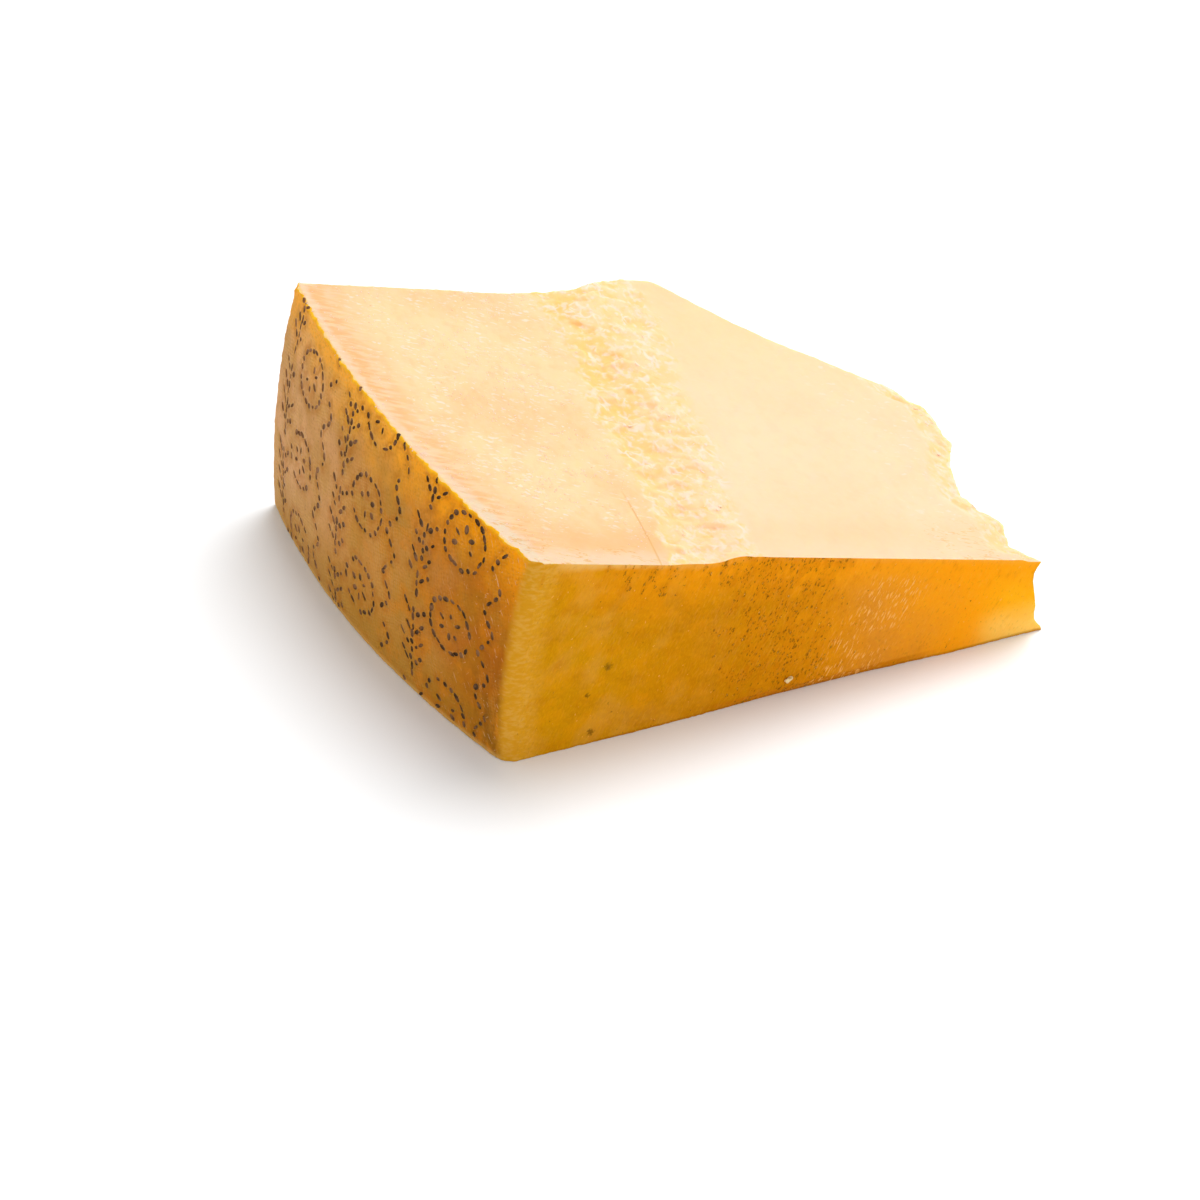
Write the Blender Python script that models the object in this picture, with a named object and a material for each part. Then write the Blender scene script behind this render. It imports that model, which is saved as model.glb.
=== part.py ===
"""A chunk of aged hard cheese: half the height of a wheel, cut as a wedge and broken off before its centre.

The wheel's flat face stands at the front (low Y), its bulging side is at the left (low X), and the wedge
rests on one radial cut. The other radial cut is the top: a knife went in from the rind and another from
the centre, and between them the cheese was split, which left a band of flakes. The tip and the far corner
were broken off by hand.

Everything is first placed with the corner of the wheel's flat face and side at the origin: X runs from the
side to the wheel's centre, Y from the flat face to the wheel's mid-height, Z up from the table.
"""

import math

import bmesh
import bpy
from mathutils import Vector, noise

MM = 0.001

# The wheel that the chunk was cut from
WHEEL_RADIUS = 200 * MM  # at the flat face
HALF_HEIGHT = 117 * MM  # flat face to the cut at mid-height
SIDE_BULGE = 18.8 * MM  # how far the side stands out past the flat face's radius
BULGE_AT = 100 * MM  # where it stands out furthest, from the flat face
CORNER_RADIUS = 3.2 * MM  # rounding between the flat face and the side

# The two radial cuts
WEDGE_ANGLE = math.radians(15.9)
TOP_RISE = 0.032  # climb of the top cut towards mid-height
CUT_STEP = 2.6 * MM  # the cut from the centre lies this much above the cut from the rind

# The band of flakes between the two cuts
BAND_START = 42.0 * MM  # from the wheel's corner, at the flat face
BAND_SLANT = 0.095  # lean of its rind side towards the tip
BAND_WIDTH = 20 * MM
BAND_WIDENING = 0.07
BAND_RELIEF = 1.4 * MM
BAND_FLAKE = Vector((6.5, 4.5, 6.0)) * MM
BASE_RECESS = 1.2 * MM  # depth of the same band in the cut that the chunk lies on
BASE_RECESS_FROM = 18 * MM  # it fades out this near to the flat face

# The broken tip: how far it reaches from the wheel's corner, at each distance from the flat face
TIP_REACH = 133 * MM
TIP_OUTLINE = (
    (0 * MM, 135.4 * MM),
    (3 * MM, 132.7 * MM),
    (7 * MM, 130.1 * MM),
    (12 * MM, 131.8 * MM),
    (16.5 * MM, 133.5 * MM),
    (20 * MM, 132.8 * MM),
    (24.5 * MM, 129.7 * MM),
    (28 * MM, 128.6 * MM),
    (34 * MM, 129.5 * MM),
    (40 * MM, 131.5 * MM),
    (46 * MM, 134.0 * MM),
    (49 * MM, 135.9 * MM),
    (52.5 * MM, 137.7 * MM),
    (57 * MM, 137.2 * MM),
    (65 * MM, 138.6 * MM),
    (69 * MM, 138.2 * MM),
    (72 * MM, 134.5 * MM),
    (77 * MM, 133.2 * MM),
)
TIP_HOLLOW = 2.5 * MM
TIP_LEAN = 1.6 * MM  # at the flat face, the lower lip stands out this much further than the upper one
TIP_CHAMFER = 10 * MM  # width of the crumbled edge on top
TIP_CHAMFER_DROP = 1.8 * MM
TIP_CHAMFER_LEAST = 0.15  # share of that drop left at the flat face
TIP_CHAMFER_RAMP = 10 * MM

# The broken back, past the reach of the knife: its distance from the flat face, from side to tip
BACK_OUTLINE = (
    (45 * MM, 117.0 * MM),
    (53 * MM, 118.6 * MM),
    (64 * MM, 118.0 * MM),
    (78 * MM, 123.0 * MM),
    (86 * MM, 122.6 * MM),
    (92 * MM, 114.0 * MM),
    (99 * MM, 104.6 * MM),
    (108 * MM, 95.0 * MM),
    (122 * MM, 83.0 * MM),
    (126 * MM, 80.0 * MM),
    (133 * MM, 78.0 * MM),
    (139 * MM, 75.0 * MM),
)
BREAK_HOLLOW = 2.6 * MM

# The hollow of a broken face between its lower and its upper lip: share of its depth at each height
BREAK_PROFILE = (
    (0.0, 0.0),
    (0.06, 0.15),
    (0.12, 0.48),
    (0.2, 0.78),
    (0.28, 0.76),
    (0.38, 0.64),
    (0.5, 0.74),
    (0.6, 0.86),
    (0.73, 1.0),
    (0.84, 0.88),
    (0.92, 0.55),
    (1.0, 0.0),
)

# Crags of the broken faces
CRAG = Vector((13.0, 13.0, 9.0)) * MM
CRAG_DEPTH = 2.6 * MM
CHIP = Vector((5.5, 5.5, 4.5)) * MM
CHIP_DEPTH = 1.0 * MM
RIM_SHARE = 0.15  # share of the crags' depth that is left along the top and bottom rims
FACET_BLEND = 0.22  # width of the worn joint between two facets, as a share of their size

# How finely the block is divided
CELLS = (76, 52, 16)
FLAT_ENOUGH = math.radians(0.6)
SETTLING_STEPS = 6

PASTE, RIND = 0, 1
MATERIALS = (
    ("cheese_paste", (1.0, 0.72, 0.40, 1.0), 0.55),
    ("cheese_rind", (0.62, 0.29, 0.045, 1.0), 0.45),
)


def clear_scene():
    """Removes whatever the scene holds."""
    for obj in list(bpy.data.objects):
        bpy.data.objects.remove(obj)


def blend(low, high, share):
    """The value that lies at this share of the way from low to high."""
    return low + (high - low) * share


def ease(low, high, value):
    """0 below low and 1 above high, with a smooth passage between them."""
    share = min(1.0, max(0.0, (value - low) / (high - low)))
    return share * share * (3 - 2 * share)


def through(outline, place):
    """The value at this place along an outline, straight from one of its named points to the next."""
    for (low, start), (high, end) in zip(outline, outline[1:]):
        if place < high:
            return blend(start, end, max(0.0, (place - low) / (high - low)))
    return outline[-1][1]


def facet_height(offset, facet):
    """Height of one broken facet at this offset from its middle: it has its own level and tilt."""
    tilt = noise.cell_vector(facet * 3.1) - Vector((0.5, 0.5, 0.5))
    return 0.6 * noise.cell(facet * 5.3) + 1.4 * tilt.dot(offset)


def flakes(point, size):
    """Height from about -1 to 1 of a broken surface, made of facets of this size."""
    scaled = Vector((point.x / size.x, point.y / size.y, point.z / size.z))
    distances, facets = noise.voronoi(scaled)
    height = total = 0.0
    for distance, facet in zip(distances, facets):
        weight = max(0.0, 1 - (distance - distances[0]) / FACET_BLEND) ** 2
        if weight > 0:
            height += weight * facet_height(scaled - facet, facet)
            total += weight
    return height / total


def crags(point):
    """Depth of the large facets and the chips on a face that was broken by hand."""
    return CRAG_DEPTH * flakes(point, CRAG) + CHIP_DEPTH * flakes(point, CHIP)


def side_radius(y):
    """Radius of the wheel at this distance from its flat face."""
    inset = (BULGE_AT - y) / BULGE_AT
    radius = WHEEL_RADIUS + SIDE_BULGE * (1 - inset * inset)
    if y < CORNER_RADIUS:
        rest = CORNER_RADIUS - y
        radius += math.sqrt(CORNER_RADIUS**2 - rest**2) - CORNER_RADIUS
    return radius


def side_x(y, z):
    """Where the wheel's side lies. Its axis is level with the table, at the wheel's radius."""
    return WHEEL_RADIUS - math.sqrt(side_radius(y) ** 2 - z * z)


def tip_x(y, z, height_share):
    """Where the broken tip lies: a hollow between two lips, with crags that grow from the flat face."""
    inside = through(BREAK_PROFILE, height_share)
    grown = ease(0, CRAG.y, y)
    lip = through(TIP_OUTLINE, y) + TIP_LEAN * (1 - grown) * (1 - height_share)
    rough = grown * blend(RIM_SHARE, 1.0, inside)
    return lip - TIP_HOLLOW * inside + rough * crags(Vector((TIP_REACH, y, z)))


def back_y(x, z, height_share):
    """Where the back lies: flat where the knife reached, then broken, and slanting towards the tip."""
    inside = through(BREAK_PROFILE, height_share)
    knife_end = BACK_OUTLINE[0][0]
    broken = ease(knife_end, knife_end + CRAG.x, x)
    outline = through(BACK_OUTLINE, x)
    rim = blend(RIM_SHARE, 1.0, inside)
    return outline - broken * (BREAK_HOLLOW * inside - rim * crags(Vector((x, outline, z))))


def band_share(x, y):
    """0 at the band's rind side and 1 at its other side."""
    start = BAND_START + BAND_SLANT * y
    return (x - start) / (BAND_WIDTH + BAND_WIDENING * y)


def band_window(share):
    """1 inside the band, fading to 0 at its sides."""
    return ease(-0.1, 0.12, share) * (1 - ease(0.75, 1.15, share))


def top_z(x, y):
    """Height of the top cut, with its band of flakes and its crumbled edge at the tip."""
    share = band_share(x, y)
    level = (WHEEL_RADIUS - x) * math.tan(WEDGE_ANGLE) + TOP_RISE * y
    step_start = blend(0.25, -0.1, y / HALF_HEIGHT)
    level += CUT_STEP * ease(step_start, step_start + 0.7, share)
    window = band_window(share)
    if window > 0:
        level += BAND_RELIEF * window * flakes(Vector((x, y, 0)), BAND_FLAKE)
    edge = through(TIP_OUTLINE, y)
    drop = TIP_CHAMFER_DROP * blend(TIP_CHAMFER_LEAST, 1.0, ease(0, TIP_CHAMFER_RAMP, y))
    crumbled = ease(edge - TIP_CHAMFER, edge, x)
    if crumbled > 0:
        level -= crumbled * (drop + CHIP_DEPTH * flakes(Vector((x, y, 0)), CHIP))
    return level


def base_z(x, y):
    """Height of the cut that the chunk lies on: flat, but for its own shallow band of flakes."""
    window = band_window(band_share(x, y)) * ease(0, BASE_RECESS_FROM, y)
    torn = 0.5 + 0.5 * flakes(Vector((x, -y, 0)), BAND_FLAKE)
    return BASE_RECESS * window * max(0.0, torn)


def corner_spacing(share):
    """Share of the depth at which a cross-section lies, closer together round the wheel's corner."""
    return share * blend(0.3, 1.0, share)


def shaped(unit):
    """The place in the cheese of a point in the unit cube: X side to tip, Y flat face to back, Z up."""
    x = unit.x * TIP_REACH
    y = corner_spacing(unit.y) * HALF_HEIGHT
    z = unit.z * top_z(x, y)
    for _ in range(SETTLING_STEPS):
        y = corner_spacing(unit.y) * back_y(x, z, unit.z)
        x = blend(side_x(y, z), tip_x(y, z, unit.z), unit.x)
        z = blend(base_z(x, y), top_z(x, y), unit.z)
    return Vector((x, y, z))


def divided_block(name):
    """A unit cube, divided along each of its axes as CELLS says."""
    mesh = bpy.data.meshes.new(name)
    bm = bmesh.new()
    bmesh.ops.create_cube(bm, size=1.0)
    bmesh.ops.translate(bm, verts=bm.verts, vec=(0.5, 0.5, 0.5))
    for axis, cells in enumerate(CELLS):
        along = [e for e in bm.edges if abs(e.verts[0].co[axis] - e.verts[1].co[axis]) > 0.5]
        bmesh.ops.subdivide_edges(bm, edges=along, cuts=cells - 1, use_grid_fill=True)
    for face in bm.faces:
        centre = face.calc_center_median()
        on_rind = min(centre.x, centre.y) < 1e-6
        face.material_index = RIND if on_rind else PASTE
    for vert in bm.verts:
        vert.co = shaped(vert.co)
    bm.to_mesh(mesh)
    bm.free()
    return mesh


def merge_flat_faces(mesh):
    """Joins the small faces of each flat cut into large ones."""
    bm = bmesh.new()
    bm.from_mesh(mesh)
    bmesh.ops.dissolve_limit(
        bm, angle_limit=FLAT_ENOUGH, verts=bm.verts, edges=bm.edges, delimit={"MATERIAL"}
    )
    bmesh.ops.triangulate(bm, faces=bm.faces)
    bm.to_mesh(mesh)
    bm.free()


def stand_on_origin(mesh):
    """Moves the mesh so that the middle of its base is at the origin."""
    corners = [[v.co[axis] for v in mesh.vertices] for axis in range(3)]
    middle = [(min(values) + max(values)) / 2 for values in corners[:2]]
    shift = Vector((-middle[0], -middle[1], -min(corners[2])))
    for vert in mesh.vertices:
        vert.co += shift


def add_materials(mesh):
    """Gives the mesh its paste and rind materials."""
    for name, colour, roughness in MATERIALS:
        material = bpy.data.materials.new(name)
        material.use_nodes = True
        shader = material.node_tree.nodes["Principled BSDF"]
        shader.inputs["Base Color"].default_value = colour
        shader.inputs["Roughness"].default_value = roughness
        shader.inputs["Metallic"].default_value = 0.0
        mesh.materials.append(material)


def make_chunk():
    """The whole chunk, one solid."""
    mesh = divided_block("cheese_chunk")
    merge_flat_faces(mesh)
    stand_on_origin(mesh)
    add_materials(mesh)
    mesh.shade_smooth()
    mesh.set_sharp_from_angle(angle=math.radians(35))
    chunk = bpy.data.objects.new("cheese_chunk", mesh)
    collection = bpy.data.collections.new("cheese")
    bpy.context.scene.collection.children.link(collection)
    collection.objects.link(chunk)


clear_scene()
make_chunk()
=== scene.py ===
"""Looks of a chunk of aged hard cheese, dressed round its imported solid.

Shapes are worked out from the corner where the wheel's flat face and its side meet on the table: X runs
from the side to the wheel's centre, Y from the flat face to the wheel's mid-height, and Z up. The finished
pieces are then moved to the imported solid's place.
"""

import logging
import math
from dataclasses import asdict, dataclass
from enum import Enum

import bpy
import numpy as np
from mathutils import Matrix, Vector, noise


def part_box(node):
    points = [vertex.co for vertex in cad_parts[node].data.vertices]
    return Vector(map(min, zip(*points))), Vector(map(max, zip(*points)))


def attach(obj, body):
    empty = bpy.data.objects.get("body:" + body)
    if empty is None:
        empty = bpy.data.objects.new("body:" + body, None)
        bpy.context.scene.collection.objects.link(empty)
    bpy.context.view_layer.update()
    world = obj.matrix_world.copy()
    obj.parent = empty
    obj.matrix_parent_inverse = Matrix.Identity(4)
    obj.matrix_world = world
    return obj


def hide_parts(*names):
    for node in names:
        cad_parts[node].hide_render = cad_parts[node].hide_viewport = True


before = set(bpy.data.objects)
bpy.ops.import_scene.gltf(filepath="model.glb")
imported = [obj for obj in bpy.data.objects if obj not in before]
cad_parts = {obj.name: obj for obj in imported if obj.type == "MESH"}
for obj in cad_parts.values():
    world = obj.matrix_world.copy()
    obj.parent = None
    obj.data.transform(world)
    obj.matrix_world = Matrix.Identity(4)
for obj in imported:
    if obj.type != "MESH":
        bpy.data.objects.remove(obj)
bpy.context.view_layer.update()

MM = 0.001
NODE = "cheese_chunk"
BODY = "root"

Number = float | np.ndarray
Outline = tuple[tuple[float, float], ...]
Triple = tuple[float, float, float]
Colour = tuple[float, float, float, float]

ORIGIN: Triple = (0.0, 0.0, 0.0)
EVEN: Triple = (1.0, 1.0, 1.0)
MIDDLE: Triple = (0.5, 0.5, 0.5)  # of three numbers that are drawn from 0 to 1
SHAPE = "Geometry"  # the name of the shape that a Geometry Nodes tree takes and gives
CELL_SMOOTHNESS = 0.15
CELL_LEVEL = 0.6  # how far the small flakes' levels differ from their mean
CELL_TILT = 1.6  # how steep the small flakes lie
JUST_INSIDE_LOW_FACE = -0.4999  # of a block that reaches from -0.5 to 0.5
WORKING_ATTRIBUTES = ("rim", "chipped", "heading", "outwards", "swell")  # not needed by any finish
RIND_SHINE: Colour = (1.0, 0.5, 0.05, 1.0)
RIND_LEAN: Triple = (0.0, math.radians(64), 0.0)  # how the flat face's marks lean over from upright to X

log = logging.getLogger("cheese")


def blend(low: Number, high: Number, share: Number) -> Number:
    """Gives the value that lies at this share of the way from low to high.

    Args:
        low: The value at share 0, a number or an array.
        high: The value at share 1.
        share: Where between them.

    Returns:
        The value there.
    """
    return low + (high - low) * share


def ease(low: float, high: float, value: np.ndarray) -> np.ndarray:
    """Passes smoothly from 0 at low to 1 at high.

    Args:
        low: Where the passage starts.
        high: Where it ends.
        value: The places asked for.

    Returns:
        The share at each of them.
    """
    share = np.clip((value - low) / (high - low), 0, 1)
    return share * share * (3 - 2 * share)


def in_mm(*pairs: tuple[float, float]) -> Outline:
    """Makes an outline of pairs of lengths in millimetres."""
    return tuple((place * MM, value * MM) for place, value in pairs)


def through(outline: Outline, place: np.ndarray) -> np.ndarray:
    """Reads an outline, which runs straight from one of its points to the next.

    Args:
        outline: Pairs of place and value.
        place: The places asked for.

    Returns:
        The outline's value at each of them.
    """
    places, values = zip(*outline)
    return np.interp(place, places, values)


# ---------------------------------------------------------------------------------------------------------
# Node trees


class Value:
    """What one node puts out, on which sums are written as plain arithmetic."""

    def __init__(self, graph: "Graph", socket: bpy.types.NodeSocket) -> None:
        """Wraps a node's output."""
        self.graph = graph
        self.socket = socket

    def __add__(self, other: object) -> "Value":
        """Adds a number."""
        return self.graph.math("ADD", self, other)

    def __sub__(self, other: object) -> "Value":
        """Takes a number away."""
        return self.graph.math("SUBTRACT", self, other)

    def __mul__(self, other: object) -> "Value":
        """Multiplies by a number."""
        return self.graph.math("MULTIPLY", self, other)

    def __truediv__(self, other: object) -> "Value":
        """Divides by a number."""
        return self.graph.math("DIVIDE", self, other)

    def __abs__(self) -> "Value":
        """Drops the sign."""
        return self.graph.math("ABSOLUTE", self)

    def rise(self, low: object, high: object) -> "Value":
        """Passes smoothly from 0 where the value is low to 1 where it is high. low may be the larger."""
        return self.graph.output(
            "ShaderNodeMapRange", self, low, high, 0.0, 1.0, interpolation_type="SMOOTHSTEP"
        )


class Graph:
    """Wires the nodes of one tree by short calls."""

    def __init__(self, tree: bpy.types.NodeTree) -> None:
        """Starts on a tree, which may hold nodes already."""
        self.tree = tree

    def put(self, socket: bpy.types.NodeSocket, value: object) -> None:
        """Links another node's output to an input, or sets the input to a plain value."""
        if isinstance(value, Value):
            value = value.socket
        if isinstance(value, bpy.types.NodeSocket):
            self.tree.links.new(value, socket)
        elif value is not None:
            socket.default_value = value

    def node(self, kind: str, *values: object, **settings: object) -> bpy.types.Node:
        """Adds a node.

        Args:
            kind: Blender's name for the kind of node.
            values: What goes into the inputs that it shows, in their order. None leaves one as it is.
            settings: The node's own properties.

        Returns:
            The new node.
        """
        node = self.tree.nodes.new(kind)
        for name, value in settings.items():
            setattr(node, name, value)
        shown = [socket for socket in node.inputs if socket.enabled]
        for socket, value in zip(shown, values):
            self.put(socket, value)
        return node

    def output(self, kind: str, *values: object, **settings: object) -> Value:
        """Adds a node, as above, and gives the first output that it shows."""
        node = self.node(kind, *values, **settings)
        return Value(self, next(socket for socket in node.outputs if socket.enabled))

    def math(self, operation: str, *values: object) -> Value:
        """Works out one number from others."""
        return self.output("ShaderNodeMath", *values, operation=operation)

    def vector(self, operation: str, *values: object) -> Value:
        """Works out a vector, its length or a product from others."""
        return self.output("ShaderNodeVectorMath", *values, operation=operation)

    def apart(self, vector: object) -> list[Value]:
        """Splits a vector into its three numbers."""
        return [Value(self, socket) for socket in self.node("ShaderNodeSeparateXYZ", vector).outputs]

    def turned(self, vector: object, turn: object) -> Value:
        """Turns a place round the origin."""
        return self.output("ShaderNodeVectorRotate", vector, None, turn, rotation_type="EULER_XYZ")

    def mix(self, factor: object, first: object, second: object) -> Value:
        """Mixes two colours."""
        return self.output("ShaderNodeMix", factor, first, second, data_type="RGBA")

    def between(self, factor: object, first: object, second: object) -> Value:
        """Mixes two numbers."""
        return self.output("ShaderNodeMix", factor, first, second, data_type="FLOAT")

    def noise(self, vector: object, size: float, detail: object = 3.0) -> Value:
        """Reads soft noise from 0 to 1 whose features have this size in the vector's own unit."""
        return self.output("ShaderNodeTexNoise", vector, 1 / size, detail)

    def swirl(self, vector: object, scale: float, detail: float = 2.0) -> Value:
        """Reads three soft noises at once, as a vector from 0 to 1 along each axis."""
        return Value(self, self.node("ShaderNodeTexNoise", vector, scale, detail).outputs["Color"])

    def bent(self, vector: object, scale: float, push: float, detail: float = 2.0) -> Value:
        """Pushes a place about by up to this far along each axis."""
        return self.vector("MULTIPLY_ADD", self.swirl(vector, scale, detail), (push, push, push), vector)

    def cells(self, vector: object, feature: str) -> dict[str, Value]:
        """Divides space into cells of about size 1, and gives what the node puts out, by name."""
        node = self.node("ShaderNodeTexVoronoi", vector, 1.0, feature=feature)
        if feature == "SMOOTH_F1":
            node.inputs["Smoothness"].default_value = CELL_SMOOTHNESS
        return {socket.name: Value(self, socket) for socket in node.outputs}

    def attribute(self, name: str) -> Value:
        """Reads a number that the mesh carries at its points, in a material."""
        return Value(self, self.node("ShaderNodeAttribute", attribute_name=name).outputs["Fac"])

    def carried(self, name: str, kind: str = "FLOAT") -> Value:
        """Reads what the mesh carries at its points, in a Geometry Nodes tree."""
        return self.output("GeometryNodeInputNamedAttribute", name, data_type=kind)

    def set_down(self, points: object, shape: object, turn: object, size: object) -> Value:
        """Sets a copy of a shape down at each point and makes the copies real.

        Args:
            points: The points.
            shape: The shape.
            turn: How each copy is turned.
            size: How large each copy is along each axis.

        Returns:
            The copies.
        """
        node = self.node("GeometryNodeInstanceOnPoints", points)
        for name, value in (("Instance", shape), ("Rotation", turn), ("Scale", size)):
            self.put(node.inputs[name], value)
        return self.output("GeometryNodeRealizeInstances", node.outputs["Instances"])

    def dressed(self, geometry: object, material: bpy.types.Material, chosen: object = None) -> Value:
        """Gives a geometry, or the chosen part of it, its material."""
        return self.output("GeometryNodeSetMaterial", geometry, chosen, material)

    def group(self, graph: "Graph", **values: object) -> list[Value]:
        """Places a node group, with values by the names of its inputs, and gives its outputs."""
        node = self.node("ShaderNodeGroup", node_tree=graph.tree)
        for name, value in values.items():
            self.put(node.inputs[name], value)
        return [Value(self, socket) for socket in node.outputs]

    def given(self, name: str) -> Value:
        """Gives what comes in at one of a group's own inputs."""
        return Value(self, self.tree.nodes["Group Input"].outputs[name])

    def give(self, *values: object) -> "Graph":
        """Sends values to a group's own outputs, in their order, and so ends it."""
        for socket, value in zip(self.tree.nodes["Group Output"].inputs, values):
            self.put(socket, value)
        return self


def socket_kind(value: object) -> str:
    """Names the kind of socket that holds a value of this type."""
    if isinstance(value, int):
        return "NodeSocketInt"
    return "NodeSocketVector" if isinstance(value, tuple) else "NodeSocketFloat"


def new_group(name: str, inputs: dict[str, object], outputs: tuple[str, ...] = (SHAPE,)) -> Graph:
    """Starts a node group: of Geometry Nodes, which take and give one shape, or of a material's nodes.

    Args:
        name: The group's name.
        inputs: The name of each input with its usual value.
        outputs: The name of each number that a material's group puts out.

    Returns:
        The group's graph.
    """
    shapes = outputs == (SHAPE,)
    tree = bpy.data.node_groups.new(name, "GeometryNodeTree" if shapes else "ShaderNodeTree")
    kind = "NodeSocketGeometry" if shapes else "NodeSocketFloat"
    if shapes:
        tree.interface.new_socket(SHAPE, in_out="INPUT", socket_type=kind)
    for label, value in inputs.items():
        item = tree.interface.new_socket(label, in_out="INPUT", socket_type=socket_kind(value))
        item.default_value = value
    for label in outputs:
        tree.interface.new_socket(label, in_out="OUTPUT", socket_type=kind)
    tree.nodes.new("NodeGroupInput")
    tree.nodes.new("NodeGroupOutput")
    return Graph(tree)


def curls(graph: Graph, place: object, size: object) -> tuple[Value, Value]:
    """Lays out the curls of split cheese: shallow bowls with a thin raised rim along part of each.

    Args:
        graph: A tree of either kind.
        place: The place.
        size: Size of a bowl along each axis, in the place's own unit.

    Returns:
        How far up its rim, and how deep in its bowl, each place lies, from 0 to 1.
    """
    scaled = graph.vector("DIVIDE", place, size)
    bent = graph.bent(scaled, 0.8, 1.6, 1.0)
    inside = graph.cells(bent, "DISTANCE_TO_EDGE")["Distance"]
    arcs = graph.noise(scaled, 1.1, 1.0).rise(0.46, 0.6)
    level = graph.apart(graph.cells(bent, "F1")["Color"])[0]
    return inside.rise(0.16, 0.02) * arcs, inside.rise(0.02, 0.4) * level


# ---------------------------------------------------------------------------------------------------------
# Pieces


def new_piece(name: str, mesh: bpy.types.Mesh) -> bpy.types.Object:
    """Puts a mesh into the scene as an object of this name."""
    piece = bpy.data.objects.new(name, mesh)
    bpy.context.scene.collection.objects.link(piece)
    return piece


def settle_modifiers(piece: bpy.types.Object) -> None:
    """Turns what a piece's modifiers make into its own plain mesh."""
    depsgraph = bpy.context.evaluated_depsgraph_get()
    mesh = bpy.data.meshes.new_from_object(
        piece.evaluated_get(depsgraph), preserve_all_data_layers=True, depsgraph=depsgraph
    )
    piece.modifiers.clear()
    piece.data = mesh


def grow(piece: bpy.types.Object, graph: Graph, sizes: dict[str, object]) -> None:
    """Runs a Geometry Nodes tree on a piece and keeps the result as a plain mesh.

    Args:
        piece: The piece whose mesh goes in.
        graph: The tree.
        sizes: What its named inputs are set to.
    """
    modifier = piece.modifiers.new(graph.tree.name, "NODES")
    modifier.node_group = graph.tree
    for item in graph.tree.interface.items_tree:
        if item.item_type == "SOCKET" and item.in_out == "INPUT" and item.name in sizes:
            modifier[item.identifier] = sizes[item.name]
    settle_modifiers(piece)


def points_of(mesh: bpy.types.Mesh) -> np.ndarray:
    """Reads the places of a mesh's points, one row each."""
    places = np.empty(len(mesh.vertices) * 3)
    mesh.vertices.foreach_get("co", places)
    return places.reshape(-1, 3)


def move_points(mesh: bpy.types.Mesh, places: np.ndarray) -> None:
    """Puts a mesh's points in these places."""
    mesh.vertices.foreach_set("co", places.ravel())
    mesh.update()


def carry(mesh: bpy.types.Mesh, name: str, values: np.ndarray) -> None:
    """Stores a number, or a vector, for each point of a mesh."""
    kind, key = ("FLOAT", "value") if values.ndim == 1 else ("FLOAT_VECTOR", "vector")
    mesh.attributes.new(name, kind, "POINT").data.foreach_set(key, values.astype(np.float32).ravel())


# ---------------------------------------------------------------------------------------------------------
# The chunk's form


@dataclass(frozen=True)
class Facets:
    """Broken facets of one size, each with its own level and its own tilt."""

    size: Triple
    depth: float
    joint: float = 0.22  # width of the worn joint between two facets, as a share of their size
    level: float = 0.6  # how far their levels differ, as a share of the depth
    tilt: float = 1.4  # how steep they lie
    level_draw: float = 5.3  # these two pick each facet's own level and tilt
    tilt_draw: float = 3.1

    def heights(self, places: np.ndarray) -> np.ndarray:
        """Gives the surface's height at each of these places, up to about the depth either way."""
        return self.depth * np.array([self._height(Vector(place)) for place in places / self.size])

    def _height(self, place: Vector) -> float:
        """Gives the height at one place, measured in facets."""
        distances, centres = noise.voronoi(place)
        height = total = 0.0
        for distance, centre in zip(distances, centres):
            weight = max(0.0, 1 - (distance - distances[0]) / self.joint) ** 2
            if weight > 0:
                slope = noise.cell_vector(centre * self.tilt_draw) - Vector(MIDDLE)
                level = self.level * noise.cell(centre * self.level_draw)
                height += weight * (level + self.tilt * slope.dot(place - centre))
                total += weight
        return height / total


@dataclass(frozen=True)
class Wheel:
    """The wheel that the chunk was cut from. Its axis is level with the table."""

    radius: float = 200 * MM
    half_height: float = 117 * MM
    bulge: float = 18.8 * MM
    bulge_at: float = 100 * MM
    corner_radius: float = 3.2 * MM

    def radius_at(self, y: np.ndarray) -> np.ndarray:
        """Gives the wheel's radius at each distance from its flat face."""
        inset = (self.bulge_at - y) / self.bulge_at
        rest = np.clip(self.corner_radius - y, 0, self.corner_radius)
        rounding = np.sqrt(self.corner_radius**2 - rest**2) - self.corner_radius
        return self.radius + self.bulge * (1 - inset * inset) + rounding

    def side_x(self, y: np.ndarray, z: np.ndarray) -> np.ndarray:
        """Gives where the wheel's side lies."""
        return self.radius - np.sqrt(self.radius_at(y) ** 2 - z * z)

    def on_side(self, y: float, arc: float) -> tuple[Vector, Vector, Vector]:
        """Finds a place on the side.

        Args:
            y: Distance from the flat face.
            arc: Distance up round the wheel from the table.

        Returns:
            The place, the direction up round the wheel, and the direction out of the surface.
        """
        radius = float(self.radius_at(y))
        turn = arc / radius
        place = Vector((self.radius - radius * math.cos(turn), y, radius * math.sin(turn)))
        upwards = Vector((math.sin(turn), 0, math.cos(turn)))
        step = 0.1 * MM
        slope = float(self.radius_at(y + step) - self.radius_at(y - step)) / (2 * step)
        outwards = Vector((-math.cos(turn), -slope, math.sin(turn))).normalized()
        return place, upwards, outwards


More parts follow.
